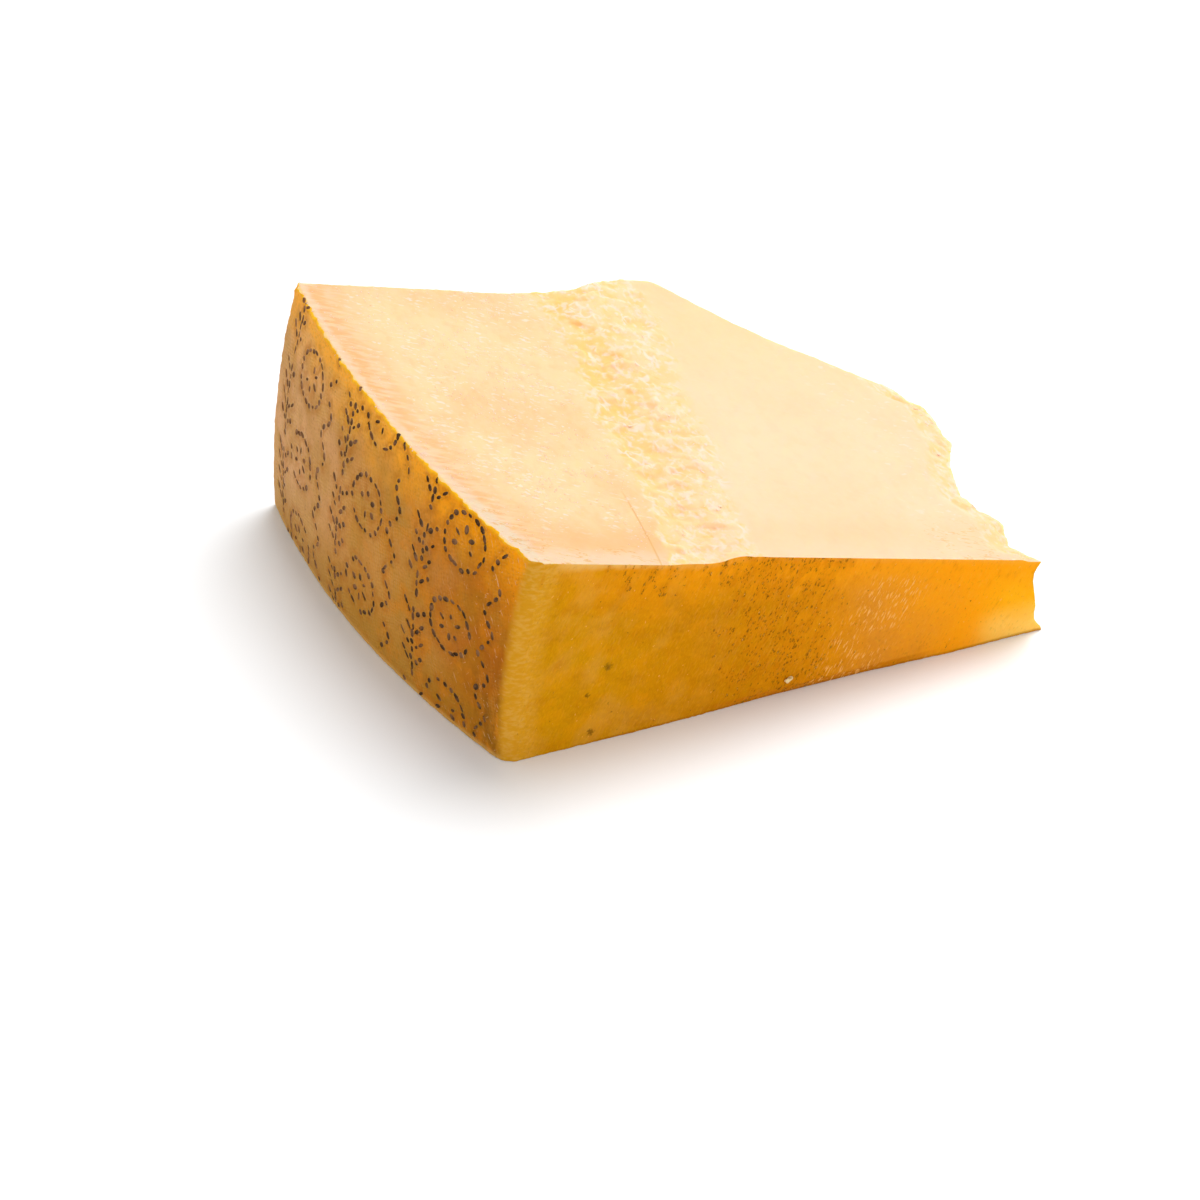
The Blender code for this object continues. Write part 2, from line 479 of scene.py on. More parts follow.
@dataclass(frozen=True)
class SplitBand:
    """The band of flakes between the knife cut from the rind and the one from the centre."""

    start: float = 42 * MM
    slant: float = 0.095
    width: float = 20 * MM
    widening: float = 0.07
    flakes: Facets = Facets((6.5 * MM, 4.5 * MM, 6.0 * MM), 0.75 * MM)
    ragged: tuple[Triple, ...] = (  # lengths of the waves of its sides, and their height
        (5.3 * MM, 11.0 * MM, 0.045),
        (2.1 * MM, 1.7 * MM, 0.03),
        (-1.1 * MM, 0.9 * MM, 0.022),
    )

    def share(self, x: np.ndarray, y: np.ndarray) -> np.ndarray:
        """Gives 0 at the band's rind side and 1 at its other side."""
        return (x - self.start - self.slant * y) / (self.width + self.widening * y)

    def share_nodes(self, x: Value, y: Value, unit: float) -> Value:
        """Gives the same in a node tree whose lengths have this unit."""
        start = y * self.slant + self.start / unit
        return (x - start) / (y * self.widening + self.width / unit)

    def window(self, x: np.ndarray, y: np.ndarray) -> np.ndarray:
        """Gives 1 inside the band, fading to 0 at its ragged sides."""
        share = self.share(x, y)
        for across, along, height in self.ragged:
            share = share + height * np.sin(x / across + y / along)
        return ease(-0.1, 0.14, share) * (1 - ease(0.7, 1.15, share))


@dataclass(frozen=True)
class Cuts:
    """The two radial cuts: the top, which slopes to the centre, and the flat one that the chunk lies on."""

    angle: float = math.radians(15.9)
    rise: float = 0.032
    step: float = 2.6 * MM
    step_from: float = 0.25
    step_from_back: float = -0.1
    step_share: float = 0.7
    base_recess: float = 1.2 * MM
    base_recess_from: float = 18 * MM

    def plane(self, wheel: Wheel, band: SplitBand, x: np.ndarray, y: np.ndarray) -> np.ndarray:
        """Gives the top cut's height without its flakes."""
        level = (wheel.radius - x) * math.tan(self.angle) + self.rise * y
        start = blend(self.step_from, self.step_from_back, y / wheel.half_height)
        share = (band.share(x, y) - start) / self.step_share
        return level + self.step * ease(0, 1, share)


@dataclass(frozen=True)
class Breaks:
    """The faces that were broken by hand: the tip, and the back past the reach of the knife."""

    tip: Outline = in_mm(
        (0, 135.4), (3, 132.7), (7, 130.1), (12, 131.8), (16.5, 133.5), (20, 132.8), (24.5, 129.7),
        (28, 128.6), (34, 129.5), (40, 131.5), (46, 134.0), (49, 135.9), (52.5, 137.7), (57, 137.2),
        (65, 138.6), (69, 138.2), (72, 134.5), (77, 133.2)
    )
    tip_reach: float = 133 * MM
    tip_hollow: float = 2.5 * MM
    tip_lean: float = 1.6 * MM
    chamfer: float = 10 * MM
    chamfer_drop: float = 1.8 * MM
    chamfer_least: float = 0.15
    chamfer_ramp: float = 10 * MM
    back: Outline = in_mm(
        (45, 117.0), (53, 118.6), (64, 118.0), (78, 123.0), (86, 122.6), (92, 114.0),
        (99, 104.6), (108, 95.0), (122, 83.0), (126, 80.0), (133, 78.0), (139, 75.0)
    )
    back_hollow: float = 2.6 * MM
    profile: Outline = (  # share of the thickness, and how deep the hollow is there
        (0.0, 0.0), (0.06, 0.15), (0.12, 0.48), (0.2, 0.78), (0.28, 0.76), (0.38, 0.64),
        (0.5, 0.74), (0.6, 0.86), (0.73, 1.0), (0.84, 0.88), (0.92, 0.55), (1.0, 0.0)
    )
    rim_share: float = 0.15
    crags: Facets = Facets((13 * MM, 13 * MM, 9 * MM), 2.6 * MM)
    chips: Facets = Facets((5.5 * MM, 5.5 * MM, 4.5 * MM), 1.0 * MM)

    def rough(self, places: np.ndarray) -> np.ndarray:
        """Gives the depth of the crags and chips at these places."""
        return self.crags.heights(places) + self.chips.heights(places)

    def tip_x(self, y: np.ndarray, height: np.ndarray, rough: np.ndarray) -> np.ndarray:
        """Gives where the broken tip lies: a hollow between two lips, with crags.

        The crags grow from nothing at the flat face.

        Args:
            y: Distance from the flat face.
            height: Share of the chunk's thickness.
            rough: Depth of the crags there.

        Returns:
            The distance from the wheel's corner.
        """
        inside = through(self.profile, height)
        grown = ease(0, self.crags.size[1], y)
        lip = through(self.tip, y) + self.tip_lean * (1 - grown) * (1 - height)
        return lip - self.tip_hollow * inside + grown * blend(self.rim_share, 1.0, inside) * rough

    def broken(self, x: np.ndarray) -> np.ndarray:
        """Gives 0 where the knife cut the back and 1 where it broke."""
        knife_end = self.back[0][0]
        return ease(knife_end, knife_end + self.crags.size[0], x)

    def back_y(self, x: np.ndarray, height: np.ndarray, rough: np.ndarray) -> np.ndarray:
        """Gives where the back lies."""
        inside = through(self.profile, height)
        rim = blend(self.rim_share, 1.0, inside)
        return through(self.back, x) - self.broken(x) * (self.back_hollow * inside - rim * rough)

    def crumbled(self, x: np.ndarray, y: np.ndarray) -> np.ndarray:
        """Gives how far the top has crumbled away towards the tip's edge, from 0 to 1."""
        edge = through(self.tip, y)
        return ease(0, 1, (x - edge + self.chamfer) / self.chamfer)

    def drop(self, y: np.ndarray) -> np.ndarray:
        """Gives how far the crumbled edge lies below the cut."""
        return self.chamfer_drop * blend(self.chamfer_least, 1.0, ease(0, self.chamfer_ramp, y))


@dataclass(frozen=True)
class ReliefSizes:
    """Sizes of the fine relief that lies over the chunk's form."""

    flake: Triple = (2.9 * MM, 3.8 * MM, 2.2 * MM)
    flake_depth: float = 0.11 * MM
    curl: Triple = (3.4 * MM, 4.6 * MM, 3.2 * MM)
    curl_rim: float = 0.10 * MM
    curl_bowl: float = 0.14 * MM
    grain: float = 0.7 * MM
    grain_depth: float = 0.07 * MM
    wave: float = 20 * MM
    wave_depth: float = 0.22 * MM
    dent: float = 3.5 * MM
    dent_depth: float = 0.05 * MM
    nick: float = 1.7 * MM
    nick_depth: float = 0.26 * MM
    chip: float = 2.4 * MM
    chip_depth: float = 1.5 * MM
    rim_rounds: int = 3


@dataclass(frozen=True)
class WornEdge:
    """The lower edge of the flat face, which slants in under it for part of its length."""

    depths: Outline = in_mm((46, 0.0), (68, 0.9), (88, 0.8), (112, 0.0))
    height: float = 2.3 * MM

    def inset(self, x: np.ndarray, z: np.ndarray) -> np.ndarray:
        """Gives how far the flat face lies behind its own plane."""
        return through(self.depths, x) * np.clip(1 - z / self.height, 0, 1)


@dataclass
class Chunk:
    """The chunk itself, one closed piece with a paste side and a rind side."""

    coarseness: float = 1.0  # how much wider the spacing is than asked for
    name: str = "cheese_body"
    wheel: Wheel = Wheel()
    band: SplitBand = SplitBand()
    cuts: Cuts = Cuts()
    breaks: Breaks = Breaks()
    worn_edge: WornEdge = WornEdge()
    relief: ReliefSizes = ReliefSizes()
    x_spacing: Outline = in_mm(
        (0, 0.3), (2, 0.75), (36, 0.75), (40, 0.34), (82, 0.34),
        (86, 0.75), (118, 0.75), (122, 0.4), (133, 0.3)
    )
    y_spacing: Outline = in_mm((0, 0.5), (115, 0.5), (117, 0.3))
    z_spacing: Outline = in_mm((0, 0.3), (3, 0.62), (54, 0.62), (57, 0.3))
    fine_steps: int = 4001  # places where the spacing is read along a side
    corner_steps: int = 9
    settling_rounds: int = 6
    rough_rounds: int = 2
    rim_width: float = 0.9 * MM
    chip_width: float = 2.0 * MM
    rim_flat: float = 0.2  # share of these widths over which the wear is full
    crumble_fade: float = 3 * MM  # how far from the flat face the torn look of the crumbled edge is full
    tip_fade: float = 1.5 * MM  # how far from it the torn look of the tip is full
    most_triangles: int = 150_000
    axes: tuple[np.ndarray, ...] = ()  # the stations along X, Y and Z, once they are known

    def thick(self) -> float:
        """Gives how high the chunk stands at the wheel's side."""
        return self.wheel.radius * math.tan(self.cuts.angle)

    def stations(self, length: float, spacing: Outline, start: tuple[float, ...] = (0.0,)) -> np.ndarray:
        """Divides a length by the spacing that is asked for at each place along it.

        Args:
            length: The length.
            spacing: How far apart the stations lie at each place.
            start: The first stations, which are given.

        Returns:
            The stations as shares of the length.
        """
        fine = np.linspace(start[-1], length, self.fine_steps)
        count = np.cumsum((fine[1] - fine[0]) / (through(spacing, fine) * self.coarseness))
        total = round(count[-1])
        rest = np.interp(np.linspace(count[0], count[-1], total + 1)[1:], count, fine)
        return np.concatenate((start, rest)) / length

    def corner(self) -> tuple[float, ...]:
        """Gives stations at even steps round the wheel's corner."""
        turns = np.linspace(0, math.pi / 2, self.corner_steps + 1)
        return tuple(self.wheel.corner_radius * (1 - np.cos(turns)))

    def block(self, paste: bpy.types.Material, rinds: tuple[bpy.types.Material, ...]) -> bpy.types.Object:
        """Makes the unit block that is then shaped, with a point at each station of its surface.

        Args:
            paste: The material of the cut and broken faces.
            rinds: The materials of the wheel's side, at low X, and of its flat face, at low Y.

        Returns:
            The block.
        """
        counts = {f"Points {label}": len(axis) for label, axis in zip("XYZ", self.axes)}
        graph = new_group("lattice_block", counts)
        cube = graph.output("GeometryNodeMeshCube", EVEN, *map(graph.given, counts))
        shape = graph.dressed(cube, paste)
        for place, rind in zip(graph.apart(graph.output("GeometryNodeInputPosition")), rinds):
            shape = graph.dressed(shape, rind, graph.math("LESS_THAN", place, JUST_INSIDE_LOW_FACE))
        piece = new_piece(self.name, bpy.data.meshes.new(self.name))
        grow(piece, graph.give(shape), counts)
        return piece

    def settle(self, index: np.ndarray) -> tuple[np.ndarray, np.ndarray]:
        """Works out the place of each point of the block's surface.

        Args:
            index: Which station each point lies at, along X, Y and Z.

        Returns:
            The places, and how far each stands out of its face there, from -1 to 1.
        """
        i, j, k = index.T
        along, deep, high = (axis[index[:, n]] for n, axis in enumerate(self.axes))
        last = [len(axis) - 1 for axis in self.axes]
        at_tip, at_back = i == last[0], j == last[1]
        tip_rough = np.zeros((last[1] + 1, last[2] + 1))
        back_rough = np.zeros((last[0] + 1, last[2] + 1))
        x, y, z = along * self.breaks.tip_reach, deep * self.wheel.half_height, high * 0
        for turn in range(self.settling_rounds):
            rough = turn >= self.settling_rounds - self.rough_rounds
            if rough:
                reach = np.full(at_tip.sum(), self.breaks.tip_reach)
                tip_faces = np.stack((reach, y[at_tip], z[at_tip]), 1)
                tip_rough[j[at_tip], k[at_tip]] = self.breaks.rough(tip_faces)
                outline = through(self.breaks.back, x[at_back])
                back_faces = np.stack((x[at_back], outline, z[at_back]), 1)
                back_rough[i[at_back], k[at_back]] = self.breaks.rough(back_faces)
            back = self.breaks.back_y(x, high, back_rough[i, k])
            y = blend(self.worn_edge.inset(x, z), back, deep)
            tip = self.breaks.tip_x(y, high, tip_rough[j, k])
            x = blend(self.wheel.side_x(y, z), tip, along)
            top, top_lump = self.top_z(x, y, rough)
            base, base_lump = self.base_z(x, y, rough)
            z = blend(base, top, high)
        deepest = self.breaks.crags.depth + self.breaks.chips.depth
        lump = np.select(
            [k == last[2], k == 0, at_tip, at_back],
            [top_lump, base_lump, tip_rough[j, k] / deepest, back_rough[i, k] / deepest],
            0.0,
        )
        return np.stack((x, y, z), 1), lump

    def top_z(self, x: np.ndarray, y: np.ndarray, rough: bool) -> tuple[np.ndarray, np.ndarray]:
        """Works out the top cut's height.

        Args:
            x: Distance from the wheel's corner.
            y: Distance from the flat face.
            rough: True to add its flakes.

        Returns:
            The height, and how far the flakes stand out there, from -1 to 1.
        """
        level = self.cuts.plane(self.wheel, self.band, x, y)
        crumbled = self.breaks.crumbled(x, y)
        level -= crumbled * self.breaks.drop(y)
        lump = np.zeros_like(x)
        if rough:
            flat = np.stack((x, y, np.zeros_like(x)), 1)
            window = self.band.window(x, y)
            torn = window > 0
            flakes = window[torn] * self.band.flakes.heights(flat[torn])
            level[torn] += flakes
            lump[torn] += flakes / self.band.flakes.depth
            torn = crumbled > 0
            chips = crumbled[torn] * self.breaks.chips.heights(flat[torn])
            level[torn] -= chips
            lump[torn] -= chips / self.breaks.chips.depth
        return level, lump

    def base_z(self, x: np.ndarray, y: np.ndarray, rough: bool) -> tuple[np.ndarray, np.ndarray]:
        """Works out the height of the cut that the chunk lies on.

        Args:
            x: Distance from the wheel's corner.
            y: Distance from the flat face.
            rough: True to add its band of flakes.

        Returns:
            The height, and how far the flakes stand in there, from 0 to 1.
        """
        window = self.band.window(x, y) * ease(0, self.cuts.base_recess_from, y)
        lump = np.zeros_like(x)
        if rough:
            torn = window > 0
            flat = np.stack((x, -y, np.zeros_like(x)), 1)[torn]
            flakes = self.band.flakes.heights(flat) / self.band.flakes.depth
            lump[torn] = window[torn] * np.clip(0.5 + 0.5 * flakes, 0, None)
        return self.cuts.base_recess * lump, -lump

    def wear(self, mesh: bpy.types.Mesh, places: np.ndarray, index: np.ndarray, lump: np.ndarray) -> None:
        """Stores how torn each point is, how far it stands out, and how near to an edge it lies.

        Args:
            mesh: The shaped block.
            places: Its points.
            index: Which station each point lies at.
            lump: How far each point stands out.
        """
        x, y, z = places.T
        last = [len(axis) - 1 for axis in self.axes]
        under = index[:, 2] == 0
        flat = under | (index[:, 2] == last[2])
        side = index[:, 0] == 0
        front = index[:, 1] == 0
        tip = (index[:, 0] == last[0]) & ~front
        back = (index[:, 1] == last[1]) & ~side
        window = self.band.window(x, y)
        faded = np.where(under, ease(0, self.cuts.base_recess_from, y), 1.0)
        crumbled = self.breaks.crumbled(x, y) * ~under * ease(0, self.crumble_fade, y)
        torn = np.where(flat, np.maximum(window * faded, crumbled), 0)
        torn = np.maximum(torn, tip * ease(0, self.tip_fade, y))
        torn = np.maximum(torn, back * self.breaks.broken(x))
        top = self.cuts.plane(self.wheel, self.band, x, y)
        walls = np.stack(
            (
                np.minimum(x - self.wheel.side_x(y, z), y),
                through(self.breaks.tip, y) - x,
                through(self.breaks.back, x) - y,
                top - z,
                z,
            )
        )
        nearest = np.sort(np.abs(walls), axis=0)[1]
        carry(mesh, "torn", torn)
        carry(mesh, "lump", lump)
        widths = (self.rim_width, self.chip_width)
        rim, chip = (1 - ease(self.rim_flat * width, width, nearest) for width in widths)
        beside = 1 - ease(self.chip_width, 2 * self.chip_width, x - self.wheel.side_x(y, z))
        beside *= 1 - ease(self.chip_width, 2 * self.chip_width, top - z)
        carry(mesh, "rim", rim)
        carry(mesh, "chipped", chip * beside)

    def add_relief(self, piece: bpy.types.Object) -> None:
        """Wears the edges round and lays flakes, curls, grain and waves over the chunk."""
        sizes = {name.replace("_", " ").title(): value for name, value in asdict(self.relief).items()}
        graph = new_group("fine_relief", sizes)
        given, carried = graph.given, graph.carried
        place = graph.output("GeometryNodeInputPosition")

        def soft(feature: str, detail: float) -> Value:
            """Reads soft noise of a feature's size, from minus its depth to its depth."""
            swell = graph.noise(graph.vector("DIVIDE", place, given(feature)), 1.0, detail) * 2.0 - 1.0
            return swell * given(f"{feature} Depth")

        scaled = graph.vector("DIVIDE", place, given("Flake"))
        cells = graph.cells(scaled, "SMOOTH_F1")
        tilt = graph.vector("SUBTRACT", cells["Color"], MIDDLE)
        slope = graph.vector("DOT_PRODUCT", tilt, graph.vector("SUBTRACT", scaled, cells["Position"]))
        level = graph.apart(cells["Color"])[0] * (2 * CELL_LEVEL) - CELL_LEVEL
        flakes = slope * CELL_TILT + level
        rim, bowl = curls(graph, place, given("Curl"))
        tall = rim * given("Curl Rim") + flakes * given("Flake Depth")
        tall = soft("Grain", 2.0) + (tall - bowl * given("Curl Bowl"))
        tall = tall * carried("torn") + (soft("Wave", 1.0) + soft("Dent", 2.0))
        tall = soft("Nick", 2.0) * carried("rim") + tall
        chip = soft("Chip", 3.0) * carried("chipped")
        blur, kind = "GeometryNodeBlurAttribute", "FLOAT_VECTOR"
        rounded = graph.output(blur, place, given("Rim Rounds"), carried("rim"), data_type=kind)
        smoothed = graph.output("GeometryNodeSetPosition", given(SHAPE), None, rounded)
        lift = graph.vector("SCALE", graph.output("GeometryNodeInputNormal"), tall)
        moved = graph.vector("ADD", lift, graph.output("ShaderNodeCombineXYZ", chip))
        grow(piece, graph.give(graph.output("GeometryNodeSetPosition", smoothed, None, None, moved)), sizes)

    def build(self, paste: bpy.types.Material, rinds: tuple[bpy.types.Material, ...]) -> bpy.types.Object:
        """Makes the chunk.

        Args:
            paste: The material of the cut and broken faces.
            rinds: The materials of the wheel's side and of its flat face.

        Returns:
            The chunk, still with its corner at the origin.
        """
        self.axes = (
            self.stations(self.breaks.tip_reach, self.x_spacing),
            self.stations(self.wheel.half_height, self.y_spacing, self.corner()),
            self.stations(self.thick(), self.z_spacing),
        )
        piece = self.block(paste, rinds)
        counts = np.array([len(axis) - 1 for axis in self.axes])
        index = np.rint((points_of(piece.data) + 0.5) * counts).astype(int)
        places, lump = self.settle(index)
        move_points(piece.data, places)
        self.wear(piece.data, places, index, lump)
        self.add_relief(piece)
        places = points_of(piece.data)
        places[:, 2] = np.clip(places[:, 2], 0, None)
        move_points(piece.data, places)
        triangles = 2 * len(piece.data.polygons)
        if triangles > self.most_triangles:
            thinned = piece.modifiers.new("thinned", "DECIMATE")
            thinned.ratio = self.most_triangles / triangles
            settle_modifiers(piece)
        return piece


# ---------------------------------------------------------------------------------------------------------
# The pricked marks of the wheel's side


class Motif(Enum):
    """What is pricked into the rind, over and over."""

    ROSETTE = "rosette"
    SPRIG = "sprig"
    WAVE = "wave"


Prick = tuple[float, float, float]  # distance from the flat face, distance up the wheel, turn from upwards


@dataclass(frozen=True)
class PrickedMarks:
    """Rows of small pricked motifs that run up round the wheel."""

    pitch: float = 2.3 * MM
    rosette_radius: float = 6.9 * MM
    petal_radius: float = 2.9 * MM
    petals: int = 6
    sprig_length: float = 18 * MM
    leaf: float = 4.8 * MM
    leaf_lean: float = math.radians(46)
    wave_height: float = 1.8 * MM
    repeat: float = 23 * MM
    rows: tuple[tuple[float, Motif, float], ...] = (
        (8.5 * MM, Motif.WAVE, 0.0),
        (20.5 * MM, Motif.ROSETTE, 0.15),
        (33.5 * MM, Motif.SPRIG, 0.62),
        (45.5 * MM, Motif.WAVE, 0.5),
        (57.5 * MM, Motif.ROSETTE, 0.65),
        (70.5 * MM, Motif.SPRIG, 0.1),
        (82.5 * MM, Motif.WAVE, 0.2),
        (94.5 * MM, Motif.ROSETTE, 0.2),
        (107.5 * MM, Motif.SPRIG, 0.6),
    )
    half_length: float = 1.0 * MM
    half_width: float = 0.62 * MM
    half_depth: float = 0.4 * MM
    egg_faces: tuple[int, int] = (8, 5)  # round and along a prick's cutter
    worn_away: float = 0.09
    unevenness: float = 0.34
    slip: float = 0.2 * MM
    ring: tuple[float, float] = (0.8 * MM, 2.4 * MM)  # from where to where the stain round a prick fades
    seed: int = 11

    def rosette(self) -> list[Prick]:
        """Gives a ring of pricks round the petals of a small flower."""
        pricks = []
        count = round(2 * math.pi * self.rosette_radius / self.pitch)
        for turn in np.linspace(0, 2 * math.pi, count, endpoint=False):
            across, up = self.rosette_radius * math.sin(turn), self.rosette_radius * math.cos(turn)
            pricks.append((across, up, turn + math.pi / 2))
        for turn in np.linspace(0, 2 * math.pi, self.petals, endpoint=False):
            pricks.append((self.petal_radius * math.sin(turn), self.petal_radius * math.cos(turn), turn))
        return pricks

    def sprig(self) -> list[Prick]:
        """Gives a stem with pairs of slanting leaves."""
        count = round(self.sprig_length / self.pitch)
        stem = np.linspace(-0.5, 0.5, count + 1) * self.sprig_length
        pricks = [(0.0, up, 0.0) for up in stem]
        for up in stem[1:-1:2]:
            for hand in (-1, 1):
                for out in (0.5, 1.0):
                    reach = out * self.leaf
                    across, along = reach * math.sin(self.leaf_lean), reach * math.cos(self.leaf_lean)
                    pricks.append((hand * across, up + along, hand * self.leaf_lean))
        return pricks

    def wave(self) -> list[Prick]:
        """Gives one repeat of a winding line."""
        pricks = []
        turns = 4 * math.pi / self.repeat
        count = round(self.repeat / self.pitch)
        for up in np.linspace(-0.5, 0.5, count, endpoint=False) * self.repeat:
            slope = self.wave_height * turns * math.cos(turns * up)
            pricks.append((self.wave_height * math.sin(turns * up), up, math.atan(slope)))
        return pricks

    def pattern(self, height: float) -> list[Prick]:
        """Repeats the motifs in their rows.

        Args:
            height: How far up the wheel they go.

        Returns:
            Every prick.
        """
        shapes = {
            Motif.ROSETTE: self.rosette(),
            Motif.SPRIG: self.sprig(),
            Motif.WAVE: self.wave(),
        }
        pricks = []
        for deep, motif, shift in self.rows:
            for copy in range(-1, math.ceil(height / self.repeat) + 1):
                up = (copy + shift) * self.repeat
                pricks += [(deep + y, up + arc, turn) for y, arc, turn in shapes[motif]]
        return pricks

    def seat(self, chunk: Chunk) -> bpy.types.Mesh:
        """Sets a point for each prick on the wheel's side.

        Args:
            chunk: The chunk whose side is pricked.

        Returns:
            The points, which carry the direction, the lean and the size of each prick.
        """
        random = np.random.default_rng(self.seed)
        rows = []
        for y, arc, turn in self.pattern(chunk.thick()):
            kept = random.random() > self.worn_away
            swell = 1 + self.unevenness * random.uniform(-1, 1, 3)
            deep, up = np.array((y, arc)) + random.normal(0, self.slip, 2)
            if not kept or not chunk.wheel.corner_radius < deep < chunk.wheel.half_height:
                continue
            place, upwards, outwards = chunk.wheel.on_side(deep, up)
            top = chunk.cuts.plane(chunk.wheel, chunk.band, place.x, place.y)
            if not self.half_length < place.z < float(top) + self.half_depth:
                continue
            across = outwards.cross(upwards).normalized()
            heading = upwards * math.cos(turn) + across * math.sin(turn)
            rows.append((place, heading, outwards, swell))
        mesh = bpy.data.meshes.new("prick_cutters")
        mesh.from_pydata([tuple(row[0]) for row in rows], [], [])
        for name, column in (("heading", 1), ("outwards", 2), ("swell", 3)):
            carry(mesh, name, np.array([row[column] for row in rows]))
        return mesh

    def build(self, chunk: Chunk, finish: bpy.types.Material) -> bpy.types.Object:
        """Makes the cutters.

        Args:
            chunk: The chunk whose side is pricked.
            finish: The material of the pricks' insides.

        Returns:
            The cutters, as one mesh of closed eggs.
        """
        sizes = {"Size": (self.half_length, self.half_width, self.half_depth)}
        graph = new_group("prick_eggs", sizes)
        outwards, heading, swell = (
            graph.carried(name, "FLOAT_VECTOR") for name in ("outwards", "heading", "swell")
        )
        egg = graph.output("GeometryNodeMeshUVSphere", *self.egg_faces, 1.0)
        turn = graph.output("FunctionNodeAlignRotationToVector", None, 1.0, outwards, axis="Z")
        turn = graph.output(
            "FunctionNodeAlignRotationToVector", turn, 1.0, heading, axis="X", pivot_axis="Z"
        )
        size = graph.vector("MULTIPLY", swell, graph.given("Size"))
        eggs = graph.set_down(graph.given(SHAPE), egg, turn, size)
        piece = new_piece("prick_cutters", self.seat(chunk))
        grow(piece, graph.give(graph.dressed(eggs, finish)), sizes)
        return piece

    def stain(self, body: bpy.types.Object, chunk: Chunk) -> None:
        """Stores how near each of the chunk's points lies to a prick, from 0 to 1."""
        seats = self.seat(chunk)
        places = points_of(body.data)
        nearest = np.full(len(places), 1.0)
        for seat in points_of(seats):
            nearest = np.minimum(nearest, np.linalg.norm(places - seat, axis=1))
        carry(body.data, "stained", 1 - ease(*self.ring, nearest))
        bpy.data.meshes.remove(seats)

    def prick(self, body: bpy.types.Object, cutters: bpy.types.Object) -> None:
        """Cuts the pricks out of the chunk and removes the cutters."""
        cut = body.modifiers.new("pricks", "BOOLEAN")
        cut.operation = "DIFFERENCE"
        cut.object = cutters
        cut.solver = "MANIFOLD"
        cut.material_mode = "TRANSFER"
        settle_modifiers(body)
        bpy.data.objects.remove(cutters)


# ---------------------------------------------------------------------------------------------------------
# Grains and crumbs


@dataclass(frozen=True)
class Scatter:
    """Small pieces of one kind that lie on the chunk's cut or torn faces."""

    name: str
    density: float  # pieces on each square metre, at most
    size: Triple
    least: float  # smallest piece as a share of the largest
    bend: float  # how far the pieces are bent out of shape
    torn: tuple[float, float]  # how torn the surface is where they lie
    share: tuple[float, float]  # where they lie across the band: 0 at its rind side, 1 at the other
    cluster: float  # size of the clusters that they lie in
    lean: float = 0.35  # how far they lean off the surface, in radians
    fineness: int = 1
    seed: int = 3
    upright: float = 0.6  # how far up the surface looks where they lie
    cluster_levels: tuple[float, float] = (0.42, 0.66)  # the noise levels where clusters start and are full
    bends: float = 1.1  # how many bends a piece's length holds
    extra: Triple | None = None  # one more piece, at this place

    def build(self, body: bpy.types.Object, chunk: Chunk, finish: bpy.types.Material) -> bpy.types.Object:
        """Scatters the pieces.

        Args:
            body: The chunk, with its corner at the origin.
            chunk: Its sizes.
            finish: Their material.

        Returns:
            The pieces, as one mesh of closed lumps.
        """
        sizes = {name.title(): getattr(self, name) for name in ("density", "size", "least", "bend", "seed")}
        graph = new_group(f"{self.name}_scatter", sizes)
        given = graph.given
        place = graph.output("GeometryNodeInputPosition")
        x, y, _ = graph.apart(place)
        chosen = graph.math(
            "GREATER_THAN", graph.apart(graph.output("GeometryNodeInputNormal"))[2], self.upright
        )
        for value, (low, high) in (
            (graph.carried("torn"), self.torn),
            (chunk.band.share_nodes(x, y, 1.0), self.share),
        ):
            chosen *= graph.math("GREATER_THAN", value, low) * graph.math("LESS_THAN", value, high)
        thick = graph.noise(place, self.cluster, 1.0).rise(*self.cluster_levels)
        density = thick * given("Density")
        dust = graph.node(
            "GeometryNodeDistributePointsOnFaces", given(SHAPE), chosen, density, given("Seed")
        )
        points = dust.outputs["Points"]
        if self.extra:
            joined = graph.node("GeometryNodeJoinGeometry")
            for more in (graph.output("GeometryNodePoints", 1, self.extra), points):
                graph.put(joined.inputs[0], more)
            points = joined.outputs[0]
        lump = graph.output("GeometryNodeMeshIcoSphere", 1.0, self.fineness)
        least_turn, most_turn = (-self.lean, -self.lean, 0.0), (self.lean, self.lean, 2 * math.pi)
        turn = graph.output("FunctionNodeRandomValue", least_turn, most_turn, data_type="FLOAT_VECTOR")
        upright = dust.outputs["Rotation"]
        turn = graph.output("FunctionNodeRotateRotation", upright, turn, rotation_space="LOCAL")
        swell = graph.output("FunctionNodeRandomValue", given("Least"), 1.0, data_type="FLOAT")
        lumps = graph.set_down(points, lump, turn, graph.vector("SCALE", given("Size"), swell))
        swirl = graph.swirl(graph.vector("DIVIDE", place, given("Size")), self.bends)
        push = graph.vector("SCALE", graph.vector("SUBTRACT", swirl, MIDDLE), given("Bend"))
        bent = graph.output("GeometryNodeSetPosition", lumps, None, None, push)
        piece = new_piece(self.name, body.data.copy())
        grow(piece, graph.give(graph.dressed(bent, finish)), sizes)
        return piece


